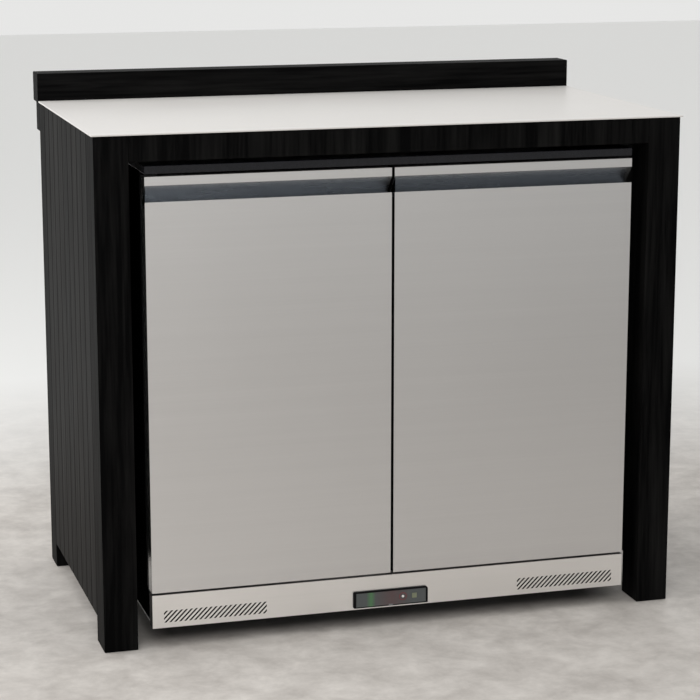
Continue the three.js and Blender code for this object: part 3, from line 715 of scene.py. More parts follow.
def edge_profile(label):
    low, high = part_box(f"{label}_door_skin")
    front = low.y + SKIN_BACK
    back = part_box(f"{label}_door_inner_panel")[0].y - 0.1 * MM
    x0, x1 = low.x + PROFILE_INSET, high.x - PROFILE_INSET
    z0, z1 = low.z + PROFILE_INSET, high.z - PROFILE_INSET
    shoulder = CHANNEL_UNDERSIDE - 0.2 * MM
    mesh = bmesh.new()
    block(mesh, (x0, front, z0), (x0 + PROFILE_THICK, back, shoulder))
    block(mesh, (x1 - PROFILE_THICK, front, z0), (x1, back, shoulder))
    block(mesh, (x0 + PROFILE_THICK, front, z0), (x1 - PROFILE_THICK, back, z0 + PROFILE_THICK))
    block(mesh, (x0, front, z1 - PROFILE_THICK), (x1, back, z1))
    bevel_edges(mesh, mesh.edges[:], PROFILE_INSET, 1)
    piece = finished(f"{label}_door_edge_profile", mesh, moulded_black)
    return detail_on(piece, body_of_node[f"{label}_door_skin"])


for label in ("left", "right"):
    edge_profile(label)
print("door edge profiles made")

# %% [markdown]
# The gasket is a hollow magnetic seal: a wide flat lip towards the frame, a folded waist, and
# a foot in the door. Extruding it along a curve would pinch the corners. Its cross-section is
# placed at the four corners instead, and joined from each corner to the next with one face
# for each of its sides, so that the corners mitre by themselves.

# %% Door gaskets
GASKET_SECTION = (
    (0.00, 1.00), (0.00, 0.72), (0.22, 0.60), (0.10, 0.46), (0.26, 0.34), (0.12, 0.20),
    (0.12, 0.00), (0.88, 0.00), (0.88, 0.20), (0.74, 0.34), (0.90, 0.46), (0.78, 0.60),
    (1.00, 0.72), (1.00, 1.00))
GASKET_WIDTH = 14 * MM


def gasket(label):
    low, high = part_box(f"{label}_door_gasket")
    mesh = bmesh.new()
    rings = []
    for right, up in ((0, 0), (1, 0), (1, 1), (0, 1)):
        points = []
        for inward, depth in GASKET_SECTION:
            shift = inward * GASKET_WIDTH
            x = high.x - shift if right else low.x + shift
            z = high.z - shift if up else low.z + shift
            points.append(mesh.verts.new((x, low.y + depth * (high.y - low.y), z)))
        rings.append(points)
    for here, there in zip(rings, rings[1:] + rings[:1]):
        for i in range(len(here)):
            mesh.faces.new((here[i - 1], here[i], there[i], there[i - 1]))
    bmesh.ops.recalc_face_normals(mesh, faces=mesh.faces)
    piece = finished(f"{label}_gasket_piece", mesh, rubber, 40)
    return stands_for(piece, f"{label}_door_gasket")


for label in ("left", "right"):
    gasket(label)
print("gaskets made")

# %% [markdown]
# ## Cabinet shell
# The casing, frame, liner, foam and covers keep their CAD shapes, with edges eased to suit
# the material: sheet steel has tight folds, and moulded parts have wider ones. They are
# listed in a table, because a table of names, radii and finishes is easier to read and to
# change than ten separate calls. The casing's sides are a darker matt black, which is painted
# shade, and its back is satin.

# %% Cabinet pieces
EASED = (
    ("cabinet_casing", 0.4, shaded_casing_black), ("front_frame", 0.5, satin_black),
    ("cabinet_insulation", 0.6, foam_cream), ("cabin_liner", 0.4, liner_white),
    ("evaporator_cover", 0.4, liner_white), ("centre_mullion", 1.5, moulded_black),
    ("base_pan", 0.4, plated_steel), ("rear_grille", 0.25, satin_black),
    ("fan_shroud", 0.4, plated_steel), ("compressor_mount", 1.2, rubber))
for node, width, material in EASED:
    piece = softened(node, width * MM, material, 1)
    if node == "cabinet_casing":
        second_finish(piece, satin_black, lambda at, out: out.y > 0.5)
for row in ("front", "rear"):
    for label in ("left", "right"):
        softened(f"{row}_{label}_pilaster", 0.3 * MM, plated_steel, 1)
for label in ("left", "right"):
    for end in ("top", "bottom"):
        softened(f"{label}_{end}_hinge", 0.4 * MM, satin_black, 2)
        softened(f"{label}_{end}_bush", 0.4 * MM, moulded_black, 1)
print("cabinet pieces made")

# %% [markdown]
# ## Round things
# Wires, screws and pipes are all round, so a few helpers cover them. A rod is the cone
# operator with two equal ends, turned to run between two points. A turned shape is an
# outline spun round the Z axis, as on a lathe, and then moved to its place. A pipe with soft
# bends is a curve, because a curve keeps its round section through every bend.

# %% Rods and turned shapes
def facing(direction, at):
    """A placement whose Z axis points along a direction."""
    turn = Vector(direction).to_track_quat("Z", "Y").to_matrix().to_4x4()
    return Matrix.Translation(Vector(at)) @ turn


def rod(mesh, start, end, radius, segments=8):
    start, end = Vector(start), Vector(end)
    run = end - start
    bmesh.ops.create_cone(
        mesh, cap_ends=True, segments=segments, radius1=radius, radius2=radius,
        depth=run.length, matrix=facing(run, (start + end) / 2))


def turned(mesh, outline, segments, place):
    before = set(mesh.verts)
    points = [mesh.verts.new((radius, 0, height)) for radius, height in outline]
    edges = [mesh.edges.new(pair) for pair in zip(points, points[1:])]
    bmesh.ops.spin(
        mesh, geom=points + edges, cent=(0, 0, 0), axis=(0, 0, 1), angle=math.tau, steps=segments,
        use_merge=True)
    made = [v for v in mesh.verts if v not in before]
    bmesh.ops.transform(mesh, matrix=place, verts=made)
    bmesh.ops.remove_doubles(mesh, verts=made, dist=0.01 * MM)
    bmesh.ops.recalc_face_normals(mesh, faces=mesh.faces)


def pipe(name, points, radius, material, body):
    curve = bpy.data.curves.new(name, "CURVE")
    curve.dimensions = "3D"
    curve.bevel_depth = radius
    curve.bevel_resolution = 2
    curve.resolution_u = 5
    curve.use_fill_caps = True
    spline = curve.splines.new("NURBS")
    spline.points.add(len(points) - 1)
    for target, point in zip(spline.points, points):
        target.co = (*point, 1)
    spline.order_u = 3
    spline.use_endpoint_u = True
    curve.materials.append(material)
    piece = bpy.data.objects.new(name, curve)
    bpy.context.scene.collection.objects.link(piece)
    return detail_on(piece, body)


print("rod, turned, facing and pipe ready")

# %% [markdown]
# ## The controller
# A black bezel with rounded upper corners sits in the plinth. Its face is a smoked window, and
# behind it a green display glows at the left and a warm light spills from the power key.
# Small lamps behind glass would be slow and noisy at this size, so the glow is two soft
# patches in the window's colour, placed by the distance along the controller.

# %% Bezel and window
controller_low, controller_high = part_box("controller_housing")
lens_low, lens_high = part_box("display_lens")
controller_width = controller_high.x - controller_low.x
DISPLAY_PLACE = 0.235
DISPLAY_SPREAD = 0.06
SPILL_PLACE = 0.52
SPILL_SPREAD = 0.26


def glow_window(name):
    f = Finish(name)
    here = f.node("ShaderNodeSeparateXYZ", "X", {}, {"Vector": f.where()})
    across = (here - controller_low.x) * (1 / controller_width)

    def patch(centre, spread):
        offset = across - centre
        distance = f.node("ShaderNodeMath", "Value", {"operation": "ABSOLUTE"}, {0: offset})
        return f.ramp(1.0 - distance * (1 / spread), (0.0, (0, 0, 0)), (1.0, (1, 1, 1)))

    grime = f.noise(f.where(), 160, 3.0)
    base = f.mix(grime, (0.058, 0.066, 0.068), (0.072, 0.080, 0.080))
    base = f.mix(patch(DISPLAY_PLACE, DISPLAY_SPREAD), base, (0.060, 0.165, 0.065))
    base = f.mix(patch(SPILL_PLACE, SPILL_SPREAD) * 0.75, base, (0.092, 0.046, 0.048))
    return f.set(
        Base_Color=base, Roughness=0.28 + grime * 0.1, Coat_Weight=0.25 + grime * 0.1,
        Normal=f.bump(grime, 0.1, 0.0001))


softened("controller_housing", 0.4 * MM, moulded_black, 2, "controller_bezel")
softened("display_lens", 0.2 * MM, glow_window("smoked_window"), 1)
print("controller window", tuple(round(v / MM, 1) for v in lens_high - lens_low))

# %% [markdown]
# The two keys stand just proud of the window. The power key is a white dot in a red ring, and
# the set key is a small square pad. A release tab sits at the middle of the lower edge. A
# squashed sphere would make a key that is too round, so the power key is an outline with a
# flat middle and a soft shoulder, spun round its own axis.

# %% Keys
red_ring = coated("key_red", (0.17, 0.028, 0.034), (0.13, 0.022, 0.027), 900, 0.4, 2000, 0.00002)
grey_tab = coated("tab_grey", (0.17, 0.17, 0.175), (0.14, 0.14, 0.145), 500, 0.45, 1200, 0.00005)
power_low, power_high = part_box("power_key")
power_centre = (power_low + power_high) / 2
power_radius = (power_high.x - power_low.x) / 2
RING_GAP = 3.7 * MM
RING_WIDTH = 1.3 * MM
RING_RISE = 0.3 * MM
TAB_HALF = 4 * MM
TAB_EDGE = 0.4 * MM


def domed_key():
    mesh = bmesh.new()
    depth = power_high.y - power_low.y
    outline = (
        (0, 0), (power_radius * 0.5, 0), (power_radius * 0.85, -0.15 * MM),
        (power_radius, -0.5 * MM), (power_radius, -depth), (0, -depth))
    turned(mesh, outline, 28, facing((0, -1, 0), (power_centre.x, power_low.y, power_centre.z)))
    return stands_for(finished("power_key_piece", mesh, key_white, 35), "power_key")


def key_ring():
    mesh = bmesh.new()
    inner = power_radius + RING_GAP
    outer = inner + RING_WIDTH
    outline = ((inner, 0), (inner, RING_RISE), (outer, RING_RISE), (outer, 0), (inner, 0))
    turned(mesh, outline, 32, facing((0, -1, 0), (power_centre.x, lens_low.y, power_centre.z)))
    piece = finished("power_key_ring", mesh, red_ring, 35)
    return detail_on(piece, "cabinet_and_counter")


def release_tab():
    mesh = bmesh.new()
    middle = (controller_low.x + controller_high.x) / 2
    front = controller_low.y
    block(
        mesh, (middle - TAB_HALF, front - 0.5 * MM, controller_low.z + 0.6 * MM),
        (middle + TAB_HALF, front + 1.0 * MM, controller_low.z + 3.4 * MM))
    bevel_edges(mesh, mesh.edges[:], TAB_EDGE, 2)
    piece = finished("release_tab", mesh, grey_tab, 40)
    return detail_on(piece, "cabinet_and_counter")


domed_key()
key_ring()
release_tab()
softened("set_key", 0.4 * MM, key_olive, 3)
print("keys made")

# %% [markdown]
# ## Inside: shelves
# The shelves are welded wire with a white coating. Thin wires run from front to back between
# a rounded rim, and two thicker bars cross below them. An Array modifier could repeat one
# wire, but a loop gives the same mesh with nothing left live. Each wire has eight sides,
# because there are many of them, and a small turned knuckle closes each corner of the rim.

# %% Wire shelves
WIRE_PITCH = 22 * MM
WIRE_RADIUS = 1.5 * MM
BAR_RADIUS = 2.0 * MM
BAR_PLACES = (0.28, 0.72)
RIM = 2.6 * MM


def wire_shelf(node):
    low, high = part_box(node)
    mesh = bmesh.new()
    level = high.z - RIM
    x0, x1 = low.x + RIM, high.x - RIM
    y0, y1 = low.y + RIM, high.y - RIM
    corners = ((x0, y0), (x1, y0), (x1, y1), (x0, y1))
    knuckle = ((0, -RIM), (RIM * 0.7, -RIM * 0.7), (RIM, 0), (RIM * 0.7, RIM * 0.7), (0, RIM))
    for start, end in zip(corners, corners[1:] + corners[:1]):
        rod(mesh, (*start, level), (*end, level), RIM, 12)
        turned(mesh, knuckle, 12, Matrix.Translation((*start, level)))
    count = round((x1 - x0) / WIRE_PITCH)
    for i in range(1, count):
        x = x0 + i * (x1 - x0) / count
        rod(mesh, (x, y0, level + 0.6 * MM), (x, y1, level + 0.6 * MM), WIRE_RADIUS)
    for share in BAR_PLACES:
        y = y0 + share * (y1 - y0)
        rod(mesh, (x0, y, level - 1.6 * MM), (x1, y, level - 1.6 * MM), BAR_RADIUS)
    return stands_for(finished(f"{node}_wires", mesh, wire_white, 40), node)


wire_shelf("lower_shelf")
wire_shelf("upper_shelf")
print("shelves made")

# %% [markdown]
# ## Fans
# Each fan has a hub and five blades. A flat plate for a blade would look cut from card. A
# real blade is steeper near the hub and curved across, so each one is a thin block, divided
# finely, whose vertices are bent and then turned by an angle that falls towards the tip.

# %% Fan rotors
BLADE_HALF = 0.7 * MM
PITCH_AT_HUB = 38
PITCH_LOSS = 16


def fan_rotor(node, blades=5):
    low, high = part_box(node)
    centre = (low + high) / 2
    radius = (high.x - low.x) / 2
    depth = high.y - low.y
    hub = radius * 0.26
    mesh = bmesh.new()
    outline = (
        (0, 0), (hub * 0.8, 0), (hub, hub * 0.12), (hub, depth * 0.96), (hub * 0.85, depth),
        (0, depth))
    turned(mesh, outline, 36, facing((0, 1, 0), (centre.x, low.y, centre.z)))
    for i in range(blades):
        blade = block(
            mesh, (hub * 0.9, -radius * 0.30, -BLADE_HALF),
            (radius * 0.985, radius * 0.30, BLADE_HALF))
        edges = {e for v in blade for e in v.link_edges}
        bmesh.ops.subdivide_edges(mesh, edges=list(edges), cuts=5, use_grid_fill=True)
        grown = [
            v for v in mesh.verts
            if abs(v.co.z) < BLADE_HALF + 0.1 * MM and v.co.x > hub * 0.85
            and abs(v.co.y) <= radius * 0.31]
        for v in grown:
            share = (v.co.x - hub) / (radius - hub)
            v.co.z += 0.30 * depth * math.cos(v.co.y / radius * 4)
            turn = Matrix.Rotation(math.radians(PITCH_AT_HUB - PITCH_LOSS * share), 3, "X")
            v.co = turn @ Vector((v.co.x, v.co.y * (0.7 + 0.3 * share), v.co.z - 0.2 * depth))
        around = Matrix.Rotation(i * math.tau / blades, 4, "Z")
        bmesh.ops.transform(mesh, matrix=facing((0, 1, 0), centre) @ around, verts=grown)
    bmesh.ops.recalc_face_normals(mesh, faces=mesh.faces)
    return stands_for(finished(f"{node}_rotor", mesh, moulded_black, 45), node)


for node in ("evaporator_fan", "condenser_fan"):
    fan_rotor(node)
print("fan rotors made")

# %% [markdown]
# A guard keeps fingers and cables out of each fan. It is a set of welded wire rings, crossed
# by four spokes. The torus would do for a ring, but bmesh has no torus operator, so each ring
# is a small circle spun round the fan's axis.

# %% Fan guards
RING_WIRE = 1.1 * MM
SPOKE_WIRE = 1.3 * MM
SPOKE_LIFT = 1.8 * MM


def fan_guard(name, fan, rings, y):
    low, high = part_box(fan)
    radius = (high.x - low.x) / 2
    middle = Vector(((low.x + high.x) / 2, y, (low.z + high.z) / 2))
    mesh = bmesh.new()
    for i in range(rings):
        around = radius * (0.26 + 0.74 * i / (rings - 1))
        circle = [
            (around + RING_WIRE * math.cos(a), RING_WIRE * math.sin(a))
            for a in (k * math.tau / 8 for k in range(9))]
        turned(mesh, circle, 40, facing((0, 1, 0), middle))
    lifted = middle + Vector((0, SPOKE_LIFT, 0))
    for k in range(4):
        angle = math.radians(45 + 90 * k)
        out = Vector((math.cos(angle), 0, math.sin(angle))) * radius
        rod(mesh, lifted + out * 0.22, lifted + out * 1.02, SPOKE_WIRE)
    return detail_on(finished(name, mesh, plated_steel, 40), "cabinet_and_counter")


shroud_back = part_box("fan_shroud")[1].y
cover_low, cover_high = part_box("evaporator_cover")
fan_guard("condenser_fan_guard", "condenser_fan", 8, shroud_back + 2 * MM)
fan_guard("evaporator_fan_guard", "evaporator_fan", 6, cover_low.y - 2.2 * MM)
print("fan guards made")

# %% [markdown]
# ## Heat exchangers
# Both coils are rows of aluminium tube joined by U-bends outside the end plates, with thin
# fins across them. The tubes run from side to side, so every fin is an upright plate. Bump
# could draw the fins on a solid block, but light would not pass between them, so each fin is
# a very thin block of its own.

# %% Finned coils
TUBE = 3.6 * MM
BEND_ROOM = 12 * MM
END_PLATE_HALF = 0.8 * MM
FIN_HALF = 0.15 * MM
BEND_STEPS = 6


def coil(node, columns, rows, fin_gap):
    low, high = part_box(node)
    mesh = bmesh.new()
    left, right = low.x + BEND_ROOM, high.x - BEND_ROOM
    places = []
    for column in range(columns):
        y = low.y + (column + 0.5) / columns * (high.y - low.y)
        for row in range(rows):
            z = low.z + (row + 0.5) / rows * (high.z - low.z)
            rod(mesh, (left, y, z), (right, y, z), TUBE, 12)
            places.append((y, z))
    step = (high.z - low.z) / rows
    for index, (y, z) in enumerate(places):
        if (index + 1) % rows == 0:
            continue
        side, x = (1, right) if index % 2 == 0 else (-1, left)
        bend = []
        for k in range(BEND_STEPS + 1):
            angle = k * math.pi / BEND_STEPS
            out = side * 0.8 * step / 2 * math.sin(angle)
            bend.append(Vector((x + out, y, z + step / 2 * (1 - math.cos(angle)))))
        for start, end in zip(bend, bend[1:]):
            rod(mesh, start, end, TUBE, 10)
    count = int((right - left) / fin_gap)
    for i in range(count + 1):
        x = left + i * (right - left) / count
        thick = END_PLATE_HALF if i in (0, count) else FIN_HALF
        block(mesh, (x - thick, low.y + MM, low.z + MM), (x + thick, high.y - MM, high.z - MM))
    print(f"{node}: {len(places)} tubes, {count + 1} fins")
    return stands_for(finished(f"{node}_tubes_and_fins", mesh, fin_metal, 40), node)


coil("evaporator_coil", 2, 6, 6 * MM)
coil("condenser_coil", 2, 8, 4 * MM)

# %% [markdown]
# ## The compressor and its pipework
# The compressor is a pressed steel can, welded round its middle where its two halves meet. A
# cylinder with a bevel would miss that seam and the domed ends, so its outline is written
# down as a few radii and heights and is spun. The terminal box on its side is two blocks.

# %% Compressor
can_low, can_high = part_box("compressor")
can_centre = (can_low + can_high) / 2
can_radius = (can_high.x - can_low.x) / 2
can_height = can_high.z - can_low.z


def compressor():
    mesh = bmesh.new()
    seam = 0.56
    lap = 3 * MM / can_height
    flat = 2 * MM / can_height
    shares = (
        (0, 0), (0.60, 0), (0.82, 0.05), (0.94, 0.14), (0.965, 0.30), (0.965, seam - lap),
        (1, seam - flat), (1, seam + flat), (0.955, seam + lap), (0.945, 0.74), (0.86, 0.88),
        (0.62, 0.96), (0.30, 0.99), (0, 1))
    outline = [(can_radius * across, can_height * up) for across, up in shares]
    turned(mesh, outline, 56, Matrix.Translation((can_centre.x, can_centre.y, can_low.z)))
    return stands_for(finished("compressor_can", mesh, satin_black, 50), "compressor")


def terminal_box():
    mesh = bmesh.new()
    front = can_centre.x + can_radius
    block(
        mesh, (front - 8 * MM, can_centre.y - 27 * MM, can_low.z + 55 * MM),
        (front + 26 * MM, can_centre.y + 27 * MM, can_low.z + 112 * MM))
    bevel_edges(mesh, mesh.edges[:], 4 * MM, 3)
    block(
        mesh, (front + 25 * MM, can_centre.y - 18 * MM, can_low.z + 64 * MM),
        (front + 28 * MM, can_centre.y + 18 * MM, can_low.z + 103 * MM))
    piece = finished("compressor_terminal_box", mesh, moulded_black)
    return detail_on(even_shading(piece), "cabinet_and_counter")


compressor()
terminal_box()
print("compressor and terminal box made")

# %% [markdown]
# Copper pipes carry the refrigerant from the compressor to the condenser, and on to the cabin
# through a small drier. A mesh tube would have to be turned at every bend, so each pipe is a
# curve through a few points with a round bevel. The drier is one more turned outline.

# %% Pipes and drier
def copper_line(name, radius, *points):
    return pipe(name, points, radius * MM, copper, "cabinet_and_counter")


coil_low, coil_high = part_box("condenser_coil")
behind = can_centre.y + can_radius * 0.6
outlet_x = can_centre.x - can_radius
outlet_y = can_centre.y - 12 * MM
outlet_z = can_low.z + 95 * MM
copper_line(
    "discharge_pipe", 3.0, (outlet_x + can_radius * 0.15, outlet_y, outlet_z),
    (outlet_x - 40 * MM, outlet_y, outlet_z),
    (outlet_x - 48 * MM, outlet_y, coil_high.z - 30 * MM),
    (coil_high.x + 30 * MM, can_centre.y - 45 * MM, coil_high.z - 22 * MM),
    (coil_high.x - 6 * MM, (coil_low.y + coil_high.y) / 2, coil_high.z - 22 * MM))
copper_line(
    "suction_pipe", 4.0, (can_centre.x - can_radius * 0.2, behind, can_low.z + 110 * MM),
    (can_centre.x - 30 * MM, behind + 40 * MM, can_low.z + 112 * MM),
    (can_centre.x - 60 * MM, behind + 44 * MM, can_low.z + 165 * MM),
    (can_centre.x - 90 * MM, behind + 44 * MM, can_low.z + 230 * MM))
copper_line(
    "liquid_pipe", 2.4, (coil_high.x - 6 * MM, coil_low.y + 14 * MM, coil_low.z + 18 * MM),
    (coil_high.x + 50 * MM, coil_low.y + 14 * MM, coil_low.z + 18 * MM),
    (coil_high.x + 70 * MM, coil_high.y + 20 * MM, coil_low.z + 30 * MM),
    (coil_high.x + 95 * MM, coil_high.y + 60 * MM, coil_low.z + 70 * MM))


def drier():
    mesh = bmesh.new()
    start = Vector((coil_high.x + 93 * MM, coil_high.y + 58 * MM, coil_low.z + 67 * MM))
    aim = Vector((0.10, 0.30, 1.0))
    outline = [(radius * MM, height * MM) for radius, height in (
        (0, 0), (3, 0), (4, 8), (11, 18), (11, 82), (4, 92), (2.5, 100), (0, 100))]
    turned(mesh, outline, 24, facing(aim, start))
    piece = finished("filter_drier", mesh, copper, 45)
    return detail_on(piece, "cabinet_and_counter")


drier()
print("pipes and drier made")

# %% [markdown]
# ## Feet and screws
# Each adjustable foot is a pad with a soft rim, a hexagon to hold with a spanner, and a
# threaded stud. A true thread is a helix, but at this size rings at the same pitch look the
# same and close cleanly, so the whole stud is one outline, spun. The hexagon is the cone
# operator with six sides.

# %% Adjustable feet
HEXAGON = 10.5 * MM
THREAD_ROOT = 4.1 * MM
THREAD_CREST = 4.9 * MM
THREAD_PITCH = 1.75 * MM
THREAD_START = 19 * MM
THREAD_ROOM = 20 * MM


def adjustable_foot(node):
    low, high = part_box(node)
    centre = (low + high) / 2
    radius = (high.x - low.x) / 2
    height = high.z - low.z
    place = Matrix.Translation((centre.x, centre.y, low.z))
    mesh = bmesh.new()
    turned(mesh, (
        (0, 0), (radius - 2.5 * MM, 0), (radius, 2 * MM), (radius, 6 * MM),
        (radius - 3 * MM, 9 * MM), (10 * MM, 12 * MM), (0, 12 * MM)), 36, place)
    hexagon = bmesh.ops.create_cone(
        mesh, cap_ends=True, segments=6, radius1=HEXAGON, radius2=HEXAGON, depth=7 * MM,
        matrix=place @ Matrix.Translation((0, 0, 15.4 * MM)))["verts"]
    bevel_edges(mesh, list({e for v in hexagon for e in v.link_edges}), 0.7 * MM, 2)
    thread = [(0, 18.8 * MM)]
    turns = int((height - THREAD_ROOM) / THREAD_PITCH)
    for i in range(turns):
        bottom = THREAD_START + i * THREAD_PITCH
        thread += [(THREAD_ROOT, bottom), (THREAD_CREST, bottom + THREAD_PITCH * 0.5)]
    thread += [(THREAD_ROOT, height), (0, height)]
    turned(mesh, thread, 20, place)
    return stands_for(finished(f"{node}_turned", mesh, moulded_black, 35), node)


for row in ("front", "rear"):
    for label in ("left", "right"):
        adjustable_foot(f"{row}_{label}_foot")
print("feet made")

# %% [markdown]
# Pan-head screws hold the back, the grille, the covers, the rail and the hinges. A flat disc
# would read as a rivet, so each head is a domed outline with a socket at its middle, spun.
# All the screws of one part are one piece, which keeps the list of pieces short.

# %% Screws
SCREW_SHARES = (
    (0.55, -0.60), (0.98, 0), (1, 0.12), (0.82, 0.40), (0.40, 0.56), (0.34, 0.20), (0, 0.10))


def screws(name, places, direction, radius, material=plated_steel):
    mesh = bmesh.new()
    outline = [(radius * across, radius * up) for across, up in SCREW_SHARES]
    for place in places:
        turned(mesh, outline, 18, facing(direction, place))
    piece = finished(name, mesh, material, 40)
    return detail_on(piece, "cabinet_and_counter")


grille_low, grille_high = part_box("rear_grille")
screws("rear_grille_screws", [
    (x, grille_high.y, z)
    for x in (grille_low.x + 10 * MM, 0, grille_high.x - 10 * MM)
    for z in (grille_low.z + 10 * MM, grille_high.z - 10 * MM)], (0, 1, 0), 4 * MM)
casing_low, casing_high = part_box("cabinet_casing")
screws("casing_back_screws", [
    (x, casing_high.y, z)
    for x in (casing_low.x + 12 * MM, casing_high.x - 12 * MM)
    for z in (0.12, 0.34, 0.56, 0.80)], (0, 1, 0), 3.6 * MM)
screws("evaporator_cover_screws", [
    (x, cover_low.y, z)
    for x in (cover_low.x + 12 * MM, cover_high.x - 12 * MM)
    for z in (cover_low.z + 12 * MM, cover_high.z - 12 * MM)], (0, -1, 0), 3.6 * MM)
rail_low, rail_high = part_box("rear_rail")
screws("rear_rail_screws", [
    (x, rail_high.y, (rail_low.z + rail_high.z) / 2)
    for x in (-0.50, -0.25, 0, 0.25, 0.50)], (0, 1, 0), 4.2 * MM, material=satin_black)
for label in ("left", "right"):
    hinge_low, hinge_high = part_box(f"{label}_top_hinge")
    hinge_middle = (hinge_low.x + hinge_high.x) / 2
    screws(f"{label}_top_hinge_screws", [
        (hinge_middle + across, hinge_low.y + back, hinge_high.z)
        for across in (-6 * MM, 6 * MM)
        for back in (25 * MM, 39 * MM)], (0, 0, 1), 2.6 * MM)
print("screws made")

# %% [markdown]
# ## Cabin lamp
# A small lamp with a ribbed cover sits under the cabin ceiling, near the front. The ribs could
# be bump, but they are seen from below against the light, so they are thin blocks set into
# the cover. The lamp is off, so its cover needs no glow.

# %% Cabin lamp
LAMP_HALF = 60 * MM
LAMP_DEPTH = 34 * MM
LAMP_DROP = 14 * MM
RIB_COUNT = 15
RIB_PITCH = 7 * MM


def cabin_lamp():
    low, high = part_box("cabin_liner")
    centre = (low + high) / 2
    mesh = bmesh.new()
    ceiling = high.z - 1.7 * MM
    front = low.y + 90 * MM
    block(
        mesh, (centre.x - LAMP_HALF, front, ceiling - LAMP_DROP),
        (centre.x + LAMP_HALF, front + LAMP_DEPTH, ceiling))
    bevel_edges(mesh, mesh.edges[:], 3 * MM, 3)
    for i in range(RIB_COUNT):
        x = centre.x + (i - (RIB_COUNT - 1) / 2) * RIB_PITCH
        block(
            mesh, (x - 1.2 * MM, front + 3 * MM, ceiling - 15.2 * MM),
            (x + 1.2 * MM, front + 31 * MM, ceiling - 13 * MM))
    piece = finished("cabin_lamp", mesh, liner_white)
    return detail_on(even_shading(piece), "cabinet_and_counter")


cabin_lamp()
print("cabin lamp made")

# %% [markdown]
# ## Floor and light
# The floor is polished screed, pale, blotchy and a little warm. It isn't part of the object.
# The steel doors mirror it, so its tones matter: it fades to white far away, it carries
# painted shade in front of the doors and at the right, where a room with other things in it
# would shade it, and a painted shadow under the cabinet. Extra objects could cast that shade,
# but they would stand in other views, so ramps on the distance from a point paint it.

# %% Floor
FLOOR_HALF = 14.0
FADE_SHIFT = (0, 1.6, 0)
FADE_START = 2.3
FADE_LENGTH = 1.2
FADE_WHITE = (0.86, 0.86, 0.85)
# Painted shade on the floor, mirrored in the doors: a pool at the front right, a pool in front of
# the doors, and a painted shadow under the cabinet.
SHADE_SHIFT = (-2.3, 2.4, 0)
SHADE_REACH = 1.9
SHADE_DARK = (0.12, 0.115, 0.11)
FRONT_SHADE_SHIFT = (-0.5, 2.3, 0)
FRONT_SHADE_REACH = 1.7
FRONT_SHADE_DARK = (0.16, 0.152, 0.145)
UNDER_SHADOW_HALF = (0.47, 0.31)
UNDER_SHADOW_EDGE = 14
UNDER_SHADOW_DARK = (0.02, 0.019, 0.018)


def screed():
    f = Finish("polished_screed_painted_shade")

    def distance(shift):
        return f.node(
            "ShaderNodeVectorMath", "Value", {"operation": "LENGTH"}, {0: f.where(shift=shift)})

    def pool(shift, reach):
        return f.ramp(distance(shift) * (1 / reach), (0.0, (1, 1, 1)), (1.0, (0, 0, 0)))

    def within(axis, reach):
        along = f.node("ShaderNodeSeparateXYZ", axis, {}, {"Vector": f.where()})
        apart = f.node("ShaderNodeMath", "Value", {"operation": "ABSOLUTE"}, {0: along})
        return f.node(
            "ShaderNodeMath", "Value", {"operation": "MULTIPLY", "use_clamp": True},
            {0: reach - apart, 1: UNDER_SHADOW_EDGE})

    clouds = f.noise(f.where(), 11, 6.0, 0.65, 0.3)
    speckle = f.noise(f.where(), 38, 4.0, 0.65)
    blotches = f.ramp(clouds * 0.7 + speckle * 0.3, (0.36, (0, 0, 0)), (0.64, (1, 1, 1)))
    colour = f.mix(blotches, (0.43, 0.400, 0.372), (0.63, 0.596, 0.560))
    far = (distance(FADE_SHIFT) - FADE_START) * (1 / FADE_LENGTH)
    colour = f.mix(f.ramp(far, (0.0, (0, 0, 0)), (1.0, (1, 1, 1))), colour, FADE_WHITE)
    # The two pools are painted shade, and the box under the cabinet is a painted shadow.
    colour = f.mix(pool(SHADE_SHIFT, SHADE_REACH) * 0.75, colour, SHADE_DARK)
    colour = f.mix(pool(FRONT_SHADE_SHIFT, FRONT_SHADE_REACH) * 0.55, colour, FRONT_SHADE_DARK)
    under_shadow = within("X", UNDER_SHADOW_HALF[0]) * within("Y", UNDER_SHADOW_HALF[1])
    colour = f.mix(under_shadow * 0.85, colour, UNDER_SHADOW_DARK)
    return f.set(
        Base_Color=colour, Roughness=0.42 + speckle * 0.2, Normal=f.bump(speckle, 0.12, 0.002),
        Specular_IOR_Level=0.4)


def floor():
    mesh = bmesh.new()
    bmesh.ops.create_grid(mesh, x_segments=1, y_segments=1, size=FLOOR_HALF)
    piece = finished("floor", mesh, screed())
    piece.location.z = -0.5 * MM
    return piece


floor()
print("floor made")

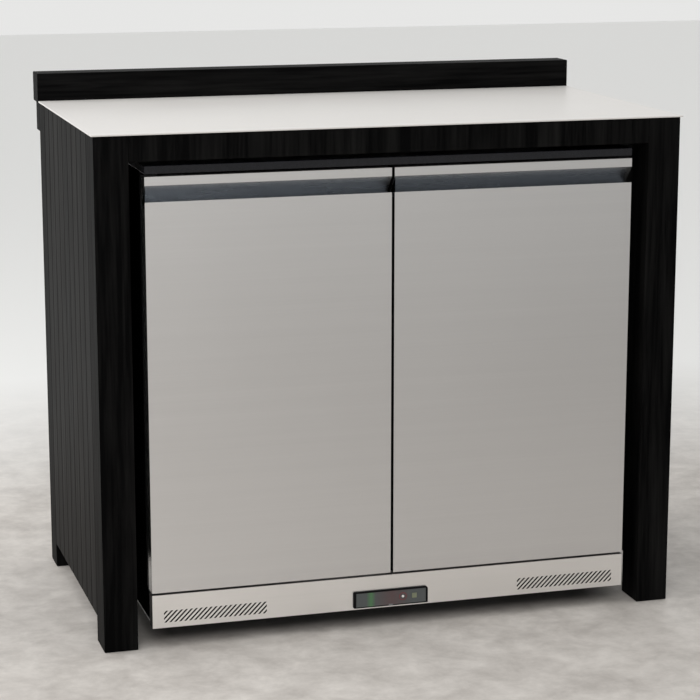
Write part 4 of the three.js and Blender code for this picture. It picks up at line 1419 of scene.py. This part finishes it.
# %% [markdown]
# The surround is what the steel mirrors above the floor: a pale room, darker at the front
# right, where the right-hand door looks. An image of a room would need a file, so the tone
# comes from the angle between each direction and the dark side. The Standard view keeps the
# black stain black and the worktop neutral, which the default view would lift and grey.

# %% Surround
SURROUND_STRENGTH = 0.82
world = bpy.data.worlds.new("surround")
world.use_nodes = True
bpy.context.scene.world = world
background = world.node_tree.nodes["Background"]


class Surround(Finish):
    """The same node helpers, working on the world instead of a material."""

    def __init__(self, tree):
        self.tree = tree


DARK_SIDE = (0.66, -0.75, 0.0)
surround = Surround(world.node_tree)
direction = surround.node("ShaderNodeTexCoord", "Generated", {}, {})
towards_dark = surround.node(
    "ShaderNodeVectorMath", "Value", {"operation": "DOT_PRODUCT"}, {0: direction, 1: DARK_SIDE})
room = surround.ramp(towards_dark, (0.70, (0.97, 0.97, 0.96)), (0.97, (0.30, 0.30, 0.305)))
surround.plug(background.inputs["Color"], room)
background.inputs["Strength"].default_value = SURROUND_STRENGTH
bpy.context.scene.view_settings.view_transform = "Standard"
print("surround ready")

# %% [markdown]
# Two large soft lights finish the set. One at the upper left models the timber's side and the
# worktop, and a weaker one fills the front. A sun would give hard shadows that a bright room
# doesn't have, so both are rectangles more than a metre and a half across.

# %% Soft lights
def soft_light(name, place, aim, size, power):
    data = bpy.data.lights.new(name, "AREA")
    data.shape = "RECTANGLE"
    data.size, data.size_y = size
    data.energy = power
    light = bpy.data.objects.new(name, data)
    bpy.context.scene.collection.objects.link(light)
    light.location = place
    light.rotation_euler = (Vector(aim) - Vector(place)).to_track_quat("-Z", "Y").to_euler()
    return light


soft_light("key_upper_left", (-2.6, 0.4, 2.6), (0, 0, 0.5), (2.2, 2.2), 52)
soft_light("front_fill", (-1.2, -3.4, 2.2), (0, 0, 0.3), (2.6, 1.6), 42)
print("two soft lights ready")

# %% [markdown]
# ## Finish
# The size of the bare frame is printed, because the finish may stand a little proud of the
# frame but must not change its dimensions.

# %% The frame's size
print("frame   ", [tuple(round(v, 4) for v in corner) for corner in cad_box])
